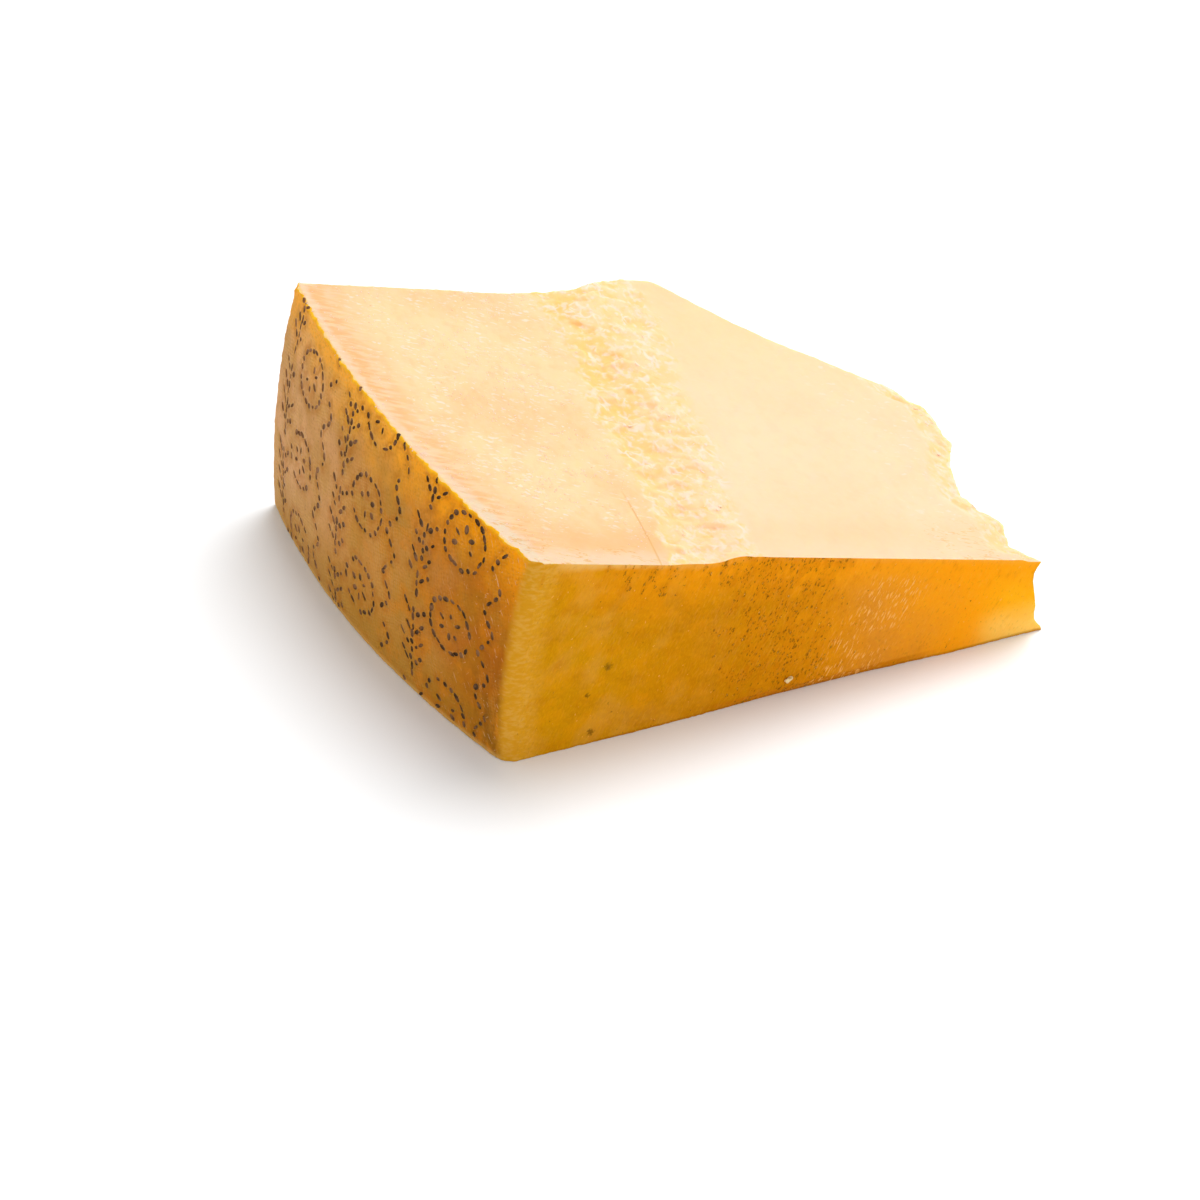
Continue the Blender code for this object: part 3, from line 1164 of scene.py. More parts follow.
CRYSTALS = Scatter(
    name="cheese_crystals",
    density=420_000.0,
    size=(0.36 * MM, 0.2 * MM, 0.07 * MM),
    least=0.35,
    bend=0.14 * MM,
    torn=(-1.0, 0.05),
    share=(-9.0, 0.0),
    cluster=11 * MM,
)
CRUMBS = Scatter(
    name="cheese_crumbs",
    density=36_000.0,
    size=(0.85 * MM, 0.5 * MM, 0.13 * MM),
    least=0.3,
    bend=0.4 * MM,
    torn=(0.35, 2.0),
    share=(-9.0, 9.0),
    cluster=6 * MM,
    fineness=2,
    seed=5,
)
LONE_CRUMB = Scatter(
    name="lone_crumb",
    density=0.0,
    size=(1.25 * MM, 0.6 * MM, 0.75 * MM),
    least=0.95,
    bend=2.0 * MM,
    torn=(0.35, 2.0),
    share=(-9.0, 9.0),
    cluster=6 * MM,
    fineness=2,
    extra=(70.6 * MM, -0.2 * MM, 4.4 * MM),
)


# ---------------------------------------------------------------------------------------------------------
# Finishes


@dataclass(frozen=True)
class Surface:
    """What is the same all over a material."""

    name: str
    glow: float = 0.0  # how much light passes through it
    glow_reach: float = 4 * MM
    glow_colours: tuple[float, float, float] = (1.0, 0.5, 0.2)  # how far each colour of light gets
    gloss: float = 0.2
    gloss_tint: Colour = (1.0, 1.0, 1.0, 1.0)
    bump_depth: float = 0.1 * MM
    bump_strength: float = 1.0


@dataclass(frozen=True)
class Patches:
    """Soft patches: a mask that is 1 in some places and 0 in others. Lengths are in millimetres."""

    size: Triple  # along X, Y and Z
    low: float  # the noise level where they start
    high: float  # the noise level where they are full
    shift: float = 0.0  # moves the pattern, so that each has its own
    detail: float = 2.0  # how ragged they are


@dataclass(frozen=True)
class Flecks:
    """Small separate flecks, in millimetres."""

    spacing: Triple  # along X, Y and Z
    radius: float  # as a share of the spacing
    amount: float  # the share of them that is there


@dataclass(frozen=True)
class Streaks:
    """Thin parallel streaks, in millimetres."""

    turn: Triple  # brings their direction to X
    length: float
    width: float
    low: float  # the noise level where they start
    high: float  # the noise level where they are full


class Finishes:
    """Node groups that more than one finish uses. Their lengths are in millimetres."""

    def __init__(self, corner: Vector, chunk: Chunk) -> None:
        """Builds the groups.

        Args:
            corner: The place of the chunk's corner, from which patterns are measured.
            chunk: The chunk's sizes.
        """
        self.corner = corner
        self.measures = self._measures(chunk)
        self.patches = self._patches()
        self.flecks = self._flecks()
        self.scratches = self._scratches()

    def _measures(self, chunk: Chunk) -> Graph:
        """Makes the distances from the rind and from the top cut's edge, and the place across the band."""
        graph = new_group("chunk_measures", {"Place": ORIGIN}, ("From Side", "Below Top", "Band Share"))
        wheel, cuts = chunk.wheel, chunk.cuts
        x, y, z = graph.apart(graph.given("Place"))
        inset = y * (-MM / wheel.bulge_at) + 1.0
        radius = inset * inset * (-wheel.bulge / MM) + (wheel.radius + wheel.bulge) / MM
        reach = graph.math("POWER", radius, 2.0) - graph.math("POWER", z, 2.0)
        from_side = x + graph.math("SQRT", reach) - wheel.radius / MM
        share = chunk.band.share_nodes(x, y, MM)
        slope = math.tan(cuts.angle)
        level = y * cuts.rise + (x * -slope + wheel.radius / MM * slope)
        step = share.rise(cuts.step_from, cuts.step_from + cuts.step_share)
        return graph.give(from_side, step * (cuts.step / MM) + level - z, share)

    def _patches(self) -> Graph:
        """Makes soft patches: a mask that is 1 in some places and 0 in others."""
        usual = {"Place": ORIGIN, "Size": EVEN, "Shift": ORIGIN, "Detail": 2.0, "Low": 0.4, "High": 0.6}
        graph = new_group("soft_patches", usual, ("Mask",))
        given = graph.given
        moved = graph.vector("ADD", graph.vector("DIVIDE", given("Place"), given("Size")), given("Shift"))
        return graph.give(graph.noise(moved, 1.0, given("Detail")).rise(given("Low"), given("High")))

    def _flecks(self) -> Graph:
        """Makes small separate flecks: a mask that is 1 in the middle of each."""
        usual = {"Place": ORIGIN, "Spacing": EVEN, "Radius": 0.3, "Amount": 0.5}
        graph = new_group("flecks", usual, ("Mask",))
        given = graph.given
        scaled = graph.vector("DIVIDE", given("Place"), given("Spacing"))
        cells = graph.cells(graph.bent(scaled, 1.7, 0.9), "F1")
        chance, size, _ = graph.apart(cells["Color"])
        dot = (cells["Distance"] / (given("Radius") * (size * 0.8 + 0.4))).rise(1.0, 0.4)
        return graph.give(dot * graph.math("LESS_THAN", chance, given("Amount")))

    def _scratches(self) -> Graph:
        """Makes thin parallel scratches: a mask that is 1 along each."""
        usual = {"Place": ORIGIN, "Turn": ORIGIN, "Length": 1.0, "Width": 0.1, "Low": 0.6, "High": 0.75}
        graph = new_group("scratches", usual, ("Mask",))
        given = graph.given
        turned = graph.turned(given("Place"), given("Turn"))
        size = graph.output("ShaderNodeCombineXYZ", given("Length"), given("Width"), given("Width"))
        lines = graph.noise(graph.vector("DIVIDE", turned, size), 1.0, 2.0)
        return graph.give(lines.rise(given("Low"), given("High")))


class Coat:
    """A material in the making, painted layer by layer. Lengths in its nodes are in millimetres."""

    # Colours of the painted highlight along the rounded corner, with its paler patches.
    corner_colour: Colour = (0.60, 0.275, 0.012, 1.0)
    corner_pale: Colour = (0.68, 0.37, 0.07, 1.0)
    corner_patches: Patches = Patches((1.7, 1.7, 0.8), 0.4, 0.7, shift=6.0, detail=3.0)

    def __init__(self, kit: Finishes, surface: Surface) -> None:
        """Starts the material.

        Args:
            kit: The node groups.
            surface: What is the same all over it.
        """
        self.kit = kit
        self.surface = surface
        self.material = bpy.data.materials.new(surface.name)
        self.material.use_nodes = True
        self.shader = self.material.node_tree.nodes["Principled BSDF"]
        for name, value in (
            ("Subsurface Weight", surface.glow),
            ("Subsurface Radius", surface.glow_colours),
            ("Subsurface Scale", surface.glow_reach),
            ("Specular IOR Level", surface.gloss),
            ("Specular Tint", surface.gloss_tint),
        ):
            self.shader.inputs[name].default_value = value
        self.graph = Graph(self.material.node_tree)
        given = self.graph.node("ShaderNodeTexCoord").outputs["Object"]
        moved = self.graph.vector("SUBTRACT", given, tuple(kit.corner))
        self.place = self.graph.vector("SCALE", moved, 1 / MM)
        self.x, self.y, self.z = self.graph.apart(self.place)
        self.from_side, self.below_top, self.share = self.graph.group(kit.measures, Place=self.place)
        self.colour: Value | None = None

    def ground(self, mask: Value, first: Colour, second: Colour) -> None:
        """Lays the first two colours: the first where the mask is 0, the second where it is 1."""
        self.colour = self.graph.mix(mask, first, second)

    def paint(self, colour: object, mask: Value) -> None:
        """Lays a colour over what is there, as far as the mask lets it."""
        self.colour = self.graph.mix(mask, self.colour, colour)

    def finish(self, roughness: Value, height: Value) -> bpy.types.Material:
        """Ends the material.

        Args:
            roughness: How rough it is.
            height: The height of its bumps, from 0 to 1.

        Returns:
            The material.
        """
        bump = self.graph.node("ShaderNodeBump", self.surface.bump_strength, self.surface.bump_depth)
        self.graph.put(bump.inputs["Height"], height)
        for name, value in (
            ("Base Color", self.colour),
            ("Roughness", roughness),
            ("Normal", bump.outputs["Normal"]),
        ):
            self.graph.put(self.shader.inputs[name], value)
        return self.material

    def most(self, first: Value, *others: Value) -> Value:
        """Takes the largest of some numbers."""
        for other in others:
            first = self.graph.math("MAXIMUM", first, other)
        return first

    def wander(self, size: float, reach: float, detail: float = 3.0) -> Value:
        """Gives a soft error of this size in space and up to this far either way."""
        return self.graph.noise(self.place, size, detail) * (2 * reach) - reach

    def patches(self, kind: Patches, place: Value | None = None) -> Value:
        """Lays soft patches.

        Args:
            kind: What they are like.
            place: Where the pattern is read, if not in the chunk's own axes.

        Returns:
            The mask.
        """
        return self.graph.group(
            self.kit.patches,
            Place=place or self.place,
            Size=kind.size,
            Shift=(kind.shift, kind.shift * 1.7, kind.shift * 0.6),
            Detail=kind.detail,
            Low=kind.low,
            High=kind.high,
        )[0]

    def flecks(self, kind: Flecks, place: Value | None = None, zone: Value | None = None) -> Value:
        """Lays small flecks.

        Args:
            kind: What they are like.
            place: Where the pattern is read, if not in the chunk's own axes.
            zone: Where they lie, if not everywhere.

        Returns:
            The mask.
        """
        return self.graph.group(
            self.kit.flecks,
            Place=place or self.place,
            Spacing=kind.spacing,
            Radius=kind.radius,
            Amount=zone * kind.amount if zone else kind.amount,
        )[0]

    def streaks(self, kind: Streaks) -> Value:
        """Lays thin parallel streaks."""
        return self.graph.group(
            self.kit.scratches,
            Place=self.place,
            Turn=kind.turn,
            Length=kind.length,
            Width=kind.width,
            Low=kind.low,
            High=kind.high,
        )[0]

    def painted_corner_highlight(self) -> Value:
        """Paints the rounded corner between the side and the flat face, alike on both, as a lighter strip:
        a painted highlight along the rounding, with paler patches.
        """
        pale = self.patches(self.corner_patches)
        return self.graph.mix(pale * 0.55, self.corner_colour, self.corner_pale)

    def turned(self, turn: Triple) -> Value:
        """Turns the axes in which a pattern is read."""
        return self.graph.turned(self.place, turn)


@dataclass(frozen=True)
class PasteFinish:
    """The pale inside of the cheese, cut, split or broken."""

    surface: Surface = Surface("cheese_paste", glow=0.75, bump_depth=0.2 * MM, bump_strength=0.5)
    near_rind: Colour = (0.72, 0.50, 0.275, 1.0)
    heart: Colour = (0.74, 0.52, 0.337, 1.0)
    blush: Colour = (0.66, 0.355, 0.155, 1.0)
    border: Colour = (0.60, 0.50, 0.37, 1.0)
    lucid: Colour = (0.80, 0.46, 0.10, 1.0)
    # amber of the pools and far paste, and painted warm shade in the torn hollows
    amber: Colour = (0.76, 0.45, 0.15, 1.0)
    # pale of the mottle and ridges, and painted highlight on the raised flakes
    crest: Colour = (0.77, 0.535, 0.365, 1.0)
    fleck: Colour = (0.80, 0.565, 0.48, 1.0)
    speckle: Colour = (0.84, 0.59, 0.52, 1.0)
    crack: Colour = (0.58, 0.31, 0.09, 1.0)
    border_width: float = 2.6
    corner_border: float = 2.8  # how much wider the border is at the corner
    blush_width: float = 17.0
    ridge_slant: float = 0.3  # how far the fine ridges beside the rind run off X
    line_start: float = 38.1
    line_slant: float = 0.115
    line_bend: float = -0.0014
    curl: Triple = (3.4, 4.6, 3.2)
    warm_clouds: Patches = Patches((19, 26, 19), 0.35, 0.7)
    pale_mottle: Patches = Patches((1.8, 2.6, 1.8), 0.3, 0.75, shift=3.0, detail=4.0)
    warm_mottle: Patches = Patches((3.4, 4.4, 3.4), 0.45, 0.75, shift=8.0, detail=3.0)
    blush_clouds: Patches = Patches((8, 9, 8), 0.25, 0.65, shift=5.0)
    cracked: Patches = Patches((5, 3, 5), 0.46, 0.56, shift=14.0)
    streaks: Streaks = Streaks((0.0, 0.0, math.radians(21.6)), 2.2, 0.9, 0.54, 0.7)  # as the knife ran
    streaked: Patches = Patches((7, 10, 7), 0.4, 0.6, shift=6.0, detail=3.0)
    fine_flecks: Flecks = Flecks((1.5, 1.2, 1.2), 0.31, 0.42)
    broad_flecks: Flecks = Flecks((2.4, 1.5, 1.6), 0.26, 0.4)
    flecked: Patches = Patches((6, 9, 6), 0.4, 0.62, shift=2.0, detail=4.0)
    scuffs: Patches = Patches((2.6, 1.6, 2.6), 0.6, 0.72, shift=16.0, detail=4.0)
    pools: Patches = Patches((5.5, 7.5, 5.5), 0.38, 0.6, shift=3.0, detail=4.0)
    tip_pools: Patches = Patches((5, 7, 5), 0.34, 0.6, shift=19.0, detail=3.0)
    spots: Patches = Patches((2.0, 3.2, 2.0), 0.54, 0.7, shift=9.0, detail=3.0)
    frayed: Patches = Patches((1.7, 2.4, 1.7), 0.48, 0.68, shift=12.0, detail=4.0)
    whitened: Patches = Patches((4.0, 6.0, 4.0), 0.38, 0.62, shift=7.0, detail=3.0)

    def ridges(self, coat: Coat, along: float, across: float, size: float) -> Value:
        """Reads noise that is drawn out along the fine ridges of the cut.

        Args:
            coat: The material.
            along: How densely it lies along them.
            across: How densely it lies across them.
            size: Its size in millimetres where both are 1.

        Returns:
            The noise.
        """
        first = coat.y * -self.ridge_slant + coat.x
        second = coat.x * self.ridge_slant + coat.y
        drawn = coat.graph.output("ShaderNodeCombineXYZ", first * along, second * across)
        return coat.graph.noise(drawn, size)

    def knife_line(self, coat: Coat) -> Value:
        """Marks the fine line where the knife stopped beside the band."""
        bend = coat.y * self.line_bend + self.line_slant
        off = abs(coat.x - (coat.y * bend + self.line_start))
        return off.rise(0.38, 0.08) * coat.y.rise(33.0, 22.0)

    def wrinkled(self, coat: Coat) -> Value:
        """Marks the fine ridges of the cut beside the wheel's side."""
        ridges = self.ridges(coat, 0.3, 1.1, 1.6).rise(0.4, 0.62)
        return ridges * coat.from_side.rise(self.blush_width, 4.0)

    def paint_cut(self, coat: Coat) -> None:
        """Paints the knife cuts: warmer towards the rind, with a pale border along it."""
        y, share, from_side = coat.y, coat.share, coat.from_side
        left = share.rise(1.1, -0.1)
        warmth = left * 0.3 + 0.16
        coat.ground(share.rise(-0.1, 1.1), self.near_rind, self.heart)
        coat.paint(self.blush, coat.patches(self.warm_clouds) * warmth)
        coat.paint(self.crest, coat.patches(self.pale_mottle) * 0.22)
        coat.paint(self.blush, coat.patches(self.warm_mottle) * warmth * 0.7)
        coat.paint(self.amber, y.rise(55.0, 105.0) * share.rise(0.4, 1.2) * 0.22)
        front = y.rise(20.0, 10.0) * (y.rise(3.0, 10.0) * 0.5 + 0.5) * (left * 0.36 + 0.16)
        inner = coat.most(from_side.rise(self.blush_width, 2.0), front)
        coat.paint(self.blush, inner * (coat.patches(self.blush_clouds) * 0.45 + 0.65))
        coat.paint(self.crest, self.wrinkled(coat) * 0.5)
        wander = coat.wander(3.4, 1.8)
        wide = y.rise(60.0, 6.0) * self.corner_border + self.border_width
        beside = ((from_side + wander) / wide).rise(1.25, 0.6)
        ahead = ((y + wander) / (self.border_width + self.corner_border)).rise(1.3, 0.3)
        coat.paint(
            self.border,
            coat.most(
                beside * (y.rise(34.0, 14.0) * 0.3 + 0.55), ahead * (share.rise(0.2, -0.4) * 0.5 + 0.15)
            ),
        )
        coat.paint(self.lucid, from_side.rise(0.7, 0.1) * 0.6)

    def paint_cracks(self, coat: Coat) -> None:
        """Draws the knife's line and hairline cracks along the edges of the cut."""
        y, from_side = coat.y, coat.from_side
        lines = abs(self.ridges(coat, 0.34, 1.1, 1.8) - 0.5).rise(0.026, 0.006)
        lines *= coat.patches(self.cracked)
        near = coat.most(
            y.rise(8.5, 5.0) * coat.share.rise(0.1, -0.5),
            from_side.rise(14.0, 7.0) * y.rise(34.0, 18.0),
            coat.x.rise(104.0, 116.0) * y.rise(20.0, 10.0) * 0.8,
        )
        coat.paint(self.crack, lines * near * from_side.rise(0.8, 2.0) * 0.8)
        coat.paint(self.crack, self.knife_line(coat) * 0.6)

    def paint_flecks(self, coat: Coat) -> None:
        """Strews white flecks and short streaks over the cut, most of them on its rind side."""
        zone = coat.share.rise(0.3, -0.2) * 0.9 + 0.1
        zone *= coat.from_side.rise(4.0, 14.0) * coat.y.rise(7.0, 20.0)
        turned = coat.turned(self.streaks.turn)
        white = coat.most(coat.flecks(self.fine_flecks, turned), coat.flecks(self.broad_flecks, turned))
        white *= coat.patches(self.flecked) * 0.85
        streaks = coat.streaks(self.streaks) * coat.patches(self.streaked) * 0.7
        scuffs = coat.patches(self.scuffs) * coat.x.rise(98.0, 120.0) * 0.6
        coat.paint(self.speckle, coat.most(coat.most(white, streaks) * zone, scuffs))

    def paint_torn(self, coat: Coat, rim: Value, bowl: Value) -> None:
        """Paints the torn faces: amber in patches and, as painted warm shade, in their hollows, paler on
        their raised flakes as a painted highlight, and whitish along the curls.

        Args:
            coat: The material.
            rim: The mask of the curls' rims.
            bowl: The mask of the curls' hollows.
        """
        y, share = coat.y, coat.share
        lump = coat.graph.attribute("lump")
        coat.ground(share.rise(0.0, 1.0), self.near_rind, self.heart)
        coat.paint(self.amber, y.rise(30.0, 95.0) * 0.16 + 0.06)
        pools = coat.patches(self.pools) * (y.rise(25.0, 75.0) * 0.6 + 0.4)
        coat.paint(self.amber, pools * (share.rise(0.8, 0.2) * 0.6 + 0.4))
        coat.paint(self.amber, share.rise(1.5, 2.2) * coat.patches(self.tip_pools) * 0.45)
        coat.paint(self.amber, coat.patches(self.spots) * 0.65)
        # painted warm shade in the hollows and bowls
        coat.paint(self.amber, coat.most(lump.rise(0.0, -0.7) * 0.4, bowl.rise(0.3, 0.9) * 0.35))
        coat.paint(self.fleck, coat.patches(self.frayed) * 0.6)
        # painted highlight on the raised flakes
        coat.paint(self.crest, lump.rise(0.1, 0.8) * 0.3)
        coat.paint(self.fleck, rim * coat.patches(self.whitened) * 0.75)

    def material(self, kit: Finishes) -> bpy.types.Material:
        """Builds the finish."""
        coat = Coat(kit, self.surface)
        graph = coat.graph
        torn = graph.attribute("torn")
        rim, bowl = curls(graph, coat.place, self.curl)
        self.paint_cut(coat)
        self.paint_cracks(coat)
        self.paint_flecks(coat)
        cut_colour = coat.colour
        self.paint_torn(coat, rim, bowl)
        coat.colour = graph.mix(torn.rise(0.05, 0.45), cut_colour, coat.colour)
        grain = graph.noise(coat.place, 0.5) * 0.5 + 0.25
        smooth = self.wrinkled(coat) * 0.6 + grain * 0.5 - self.knife_line(coat) * 0.6
        return coat.finish(graph.between(torn, 0.5, 0.7), graph.between(torn, smooth, rim * 0.35 + grain))


@dataclass(frozen=True)
class FlatRindFinish:
    """The wheel's flat face: smooth amber rind with brown specks and fine scratches, whose pale streaks and
    glints are painted highlights.
    """

    surface: Surface = Surface(
        "cheese_rind_flat", 0.15, gloss=0.03, gloss_tint=RIND_SHINE, bump_depth=0.18 * MM, bump_strength=0.6
    )
    olive: Colour = (0.55, 0.24, 0.001, 1.0)
    amber: Colour = (0.54, 0.207, 0.0006, 1.0)
    orange: Colour = (0.66, 0.235, 0.002, 1.0)
    rosy: Colour = (0.655, 0.238, 0.022, 1.0)
    # orange of the rind, which also serves as painted glow where light passes through it
    glowing: Colour = (0.89, 0.315, 0.003, 1.0)
    # painted light through the thin tip
    bright: Colour = (0.92, 0.41, 0.005, 1.0)
    # painted highlight along the upper edge
    pale: Colour = (0.74, 0.45, 0.13, 1.0)
    brown: Colour = (0.13, 0.058, 0.002, 1.0)
    # painted highlight of the scratches and glints
    shine: Colour = (0.90, 0.46, 0.12, 1.0)
    gold: Colour = (0.84, 0.41, 0.004, 1.0)
    # deep orange of the speck clouds and dark ticks, and painted shade on the strip along the lower edge
    under: Colour = (0.55, 0.168, 0.0008, 1.0)
    # painted glow: pale yellow light through the tip's thin lower part
    clear: Colour = (0.97, 0.60, 0.13, 1.0)
    hazy: Colour = (0.62, 0.285, 0.03, 1.0)
    dim: Colour = (0.45, 0.162, 0.0008, 1.0)
    # painted shade along the foot of the face
    foot: Colour = (0.38, 0.12, 0.001, 1.0)
    haze_lean: Triple = (0.0, math.radians(-35), 0.0)
    upper_clouds: Patches = Patches((13, 13, 8), 0.3, 0.66, shift=4.0)
    bright_clouds: Patches = Patches((6, 6, 5), 0.4, 0.7, shift=7.0, detail=3.0)
    haze: Patches = Patches((7, 7, 13), 0.46, 0.68, shift=11.0, detail=3.0)
    shade: Patches = Patches((8, 8, 6), 0.47, 0.66, shift=23.0, detail=4.0)
    fine_specks: Flecks = Flecks((1.2, 0.8, 0.6), 0.5, 0.8)
    broad_specks: Flecks = Flecks((1.9, 1.3, 1.0), 0.52, 0.6)
    stray_specks: Flecks = Flecks((2.4, 1.4, 1.6), 0.18, 0.12)
    grain: Streaks = Streaks(RIND_LEAN, 1.1, 0.42, 0.4, 0.72)
    dark_grain: Streaks = Streaks((0.0, math.radians(57.6), 0.0), 1.3, 0.5, 0.56, 0.75)
    bright_streaks: Streaks = Streaks(RIND_LEAN, 2.4, 0.46, 0.54, 0.64)
    streaked: Patches = Patches((5, 5, 5), 0.36, 0.54, shift=2.0)
    dark_ticks: Flecks = Flecks((1.3, 0.8, 0.7), 0.36, 0.4)
    bright_ticks: Flecks = Flecks((1.9, 1.2, 1.0), 0.2, 0.24)
    cluster_x: float = 68.0
    cluster_reach: float = 26.0
    second_x: float = 34.0
    second_reach: float = 15.0
    worked_x: float = 83.0  # where the streaks' zone meets the table
    worked_slant: float = 0.6
    spots: tuple[Triple, ...] = (  # distance along, height and size of three dark nicks
        (25.4, 21.0, 1.5),
        (20.3, 14.1, 0.9),
        (21.0, 3.3, 1.3),
    )

    def paint_ground(self, coat: Coat) -> None:
        """Paints the rind from olive at the corner, through amber and orange, to light yellow at the tip:
        partly the rind's own colours and partly painted light that passes through the rind, most at the
        thin tip, with a painted glow along the upper edge.
        """
        x, z, below_top = coat.x, coat.z, coat.below_top
        along = x + coat.wander(15.0, 13.0)
        coat.ground(along.rise(14.0, 48.0), self.olive, self.amber)
        upper = below_top.rise(24.0, 5.0) * coat.patches(self.upper_clouds)
        coat.paint(self.orange, upper * x.rise(12.0, 28.0))
        coat.paint(self.orange, along.rise(60.0, 82.0))
        coat.paint(self.rosy, along.rise(74.0, 94.0) * 0.8)
        # painted light through the rind as it thins towards the tip, strongest at the tip itself
        coat.paint(self.glowing, along.rise(90.0, 118.0))
        coat.paint(self.bright, x.rise(116.0, 130.0))
        # painted glow through the tip's thin lower part
        coat.paint(self.clear, along.rise(112.0, 132.0) * z.rise(12.0, 2.0) * 0.8)
        coat.paint(self.glowing, coat.patches(self.bright_clouds) * 0.2)
        haze = coat.patches(self.haze, coat.turned(self.haze_lean))
        coat.paint(self.hazy, haze * x.rise(62.0, 30.0) * 0.6)
        coat.paint(self.dim, coat.patches(self.shade) * x.rise(96.0, 60.0) * 0.4)
        # painted glow along the upper edge, where light passes through from the lit cut
        coat.paint(self.glowing, below_top.rise(13.0, 1.5) * x.rise(-20.0, 74.0) * 0.75)

    def paint_edges(self, coat: Coat) -> None:
        """Paints a highlight along the upper edge and along the corner, and painted shade on the strip
        along the lower edge, where the face slants in under itself, and along its foot.
        """
        x, z = coat.x, coat.z
        wander = coat.wander(3.0, 0.8, detail=2.0)
        edge = ((coat.below_top + wander) / (x.rise(30.0, 0.0) * 1.8 + 1.3)).rise(1.3, 0.1)
        # painted highlight along the upper edge
        coat.paint(self.pale, edge * (x.rise(56.0, 24.0) * 0.65 + 0.15))
        # painted highlight along the rounded corner
        coat.paint(coat.painted_corner_highlight(), (coat.from_side + wander).rise(9.5, 4.0))
        # painted shade on the strip that slants in under the face
        coat.paint(self.under, z.rise(2.6, 1.8) * x.rise(46.0, 60.0) * x.rise(112.0, 96.0) * 0.95)
        # painted shade along the foot of the face
        coat.paint(self.foot, z.rise(1.1, 0.3) * x.rise(8.0, 30.0) * 0.7)

    def paint_specks(self, coat: Coat) -> None:
        """Adds the brown specks, which crowd in a slanting cluster and lie thin elsewhere."""
        graph, x, below_top = coat.graph, coat.x, coat.below_top
        leaned = coat.turned(RIND_LEAN)
        first = abs(x - self.cluster_x).rise(self.cluster_reach, 4.0) * 0.27 - 0.19
        second = abs(x - self.second_x).rise(self.second_reach, 3.0) * below_top.rise(15.0, 6.0)
        bias = second * 0.15 + (below_top.rise(12.0, 2.0) * 0.05 + first)
        cloud = graph.noise(graph.vector("DIVIDE", leaned, (2.1, 1.0, 1.0)), 2.4, 4.0) + bias
        crowd = cloud.rise(0.46, 0.6)
        speck = coat.most(
            coat.flecks(self.fine_specks, leaned, crowd),
            coat.flecks(self.broad_specks, leaned, crowd),
            coat.flecks(self.stray_specks, leaned),
        )
        coat.paint(self.under, cloud.rise(0.38, 0.66) * 0.55)
        marks = [speck * graph.noise(coat.place, 0.5, 2.0).rise(0.34, 0.5) * 0.78]
        ruffle = coat.wander(0.6, 1.3)
        for along, high, size in self.spots:
            away = graph.vector("LENGTH", graph.vector("SUBTRACT", coat.place, (along, 0.0, high)))
            marks.append((away + ruffle).rise(size, 0.2 * size) * 0.75)
        coat.paint(self.brown, coat.most(*marks))

    def material(self, kit: Finishes) -> bpy.types.Material:
        """Builds the finish."""
        coat = Coat(kit, self.surface)
        for paint in (self.paint_ground, self.paint_edges, self.paint_specks):
            paint(coat)
        grain = coat.streaks(self.grain)
        coat.paint(self.gold, grain * 0.2)
        coat.paint(self.brown, coat.streaks(self.dark_grain) * 0.2)
        worked = abs(coat.z * -self.worked_slant + coat.x - self.worked_x).rise(12.0, 5.0)
        worked *= coat.below_top.rise(3.0, 8.0)
        # painted highlights: pale streaks along the fine scratches
        fine = coat.streaks(self.bright_streaks)
        fine *= coat.patches(self.streaked) * (worked * 0.92 + 0.08)
        coat.paint(self.shine, fine * 0.8)
        leaned = coat.turned(RIND_LEAN)
        coat.paint(self.under, coat.flecks(self.dark_ticks, leaned, worked) * 0.5)
        # painted glints scattered over the face
        coat.paint(self.shine, coat.flecks(self.bright_ticks, leaned) * 0.55)
        height = coat.graph.noise(coat.place, 0.8) * 0.4 + fine * 0.7
        return coat.finish(grain * -0.12 + 0.5, grain * 0.2 + height)


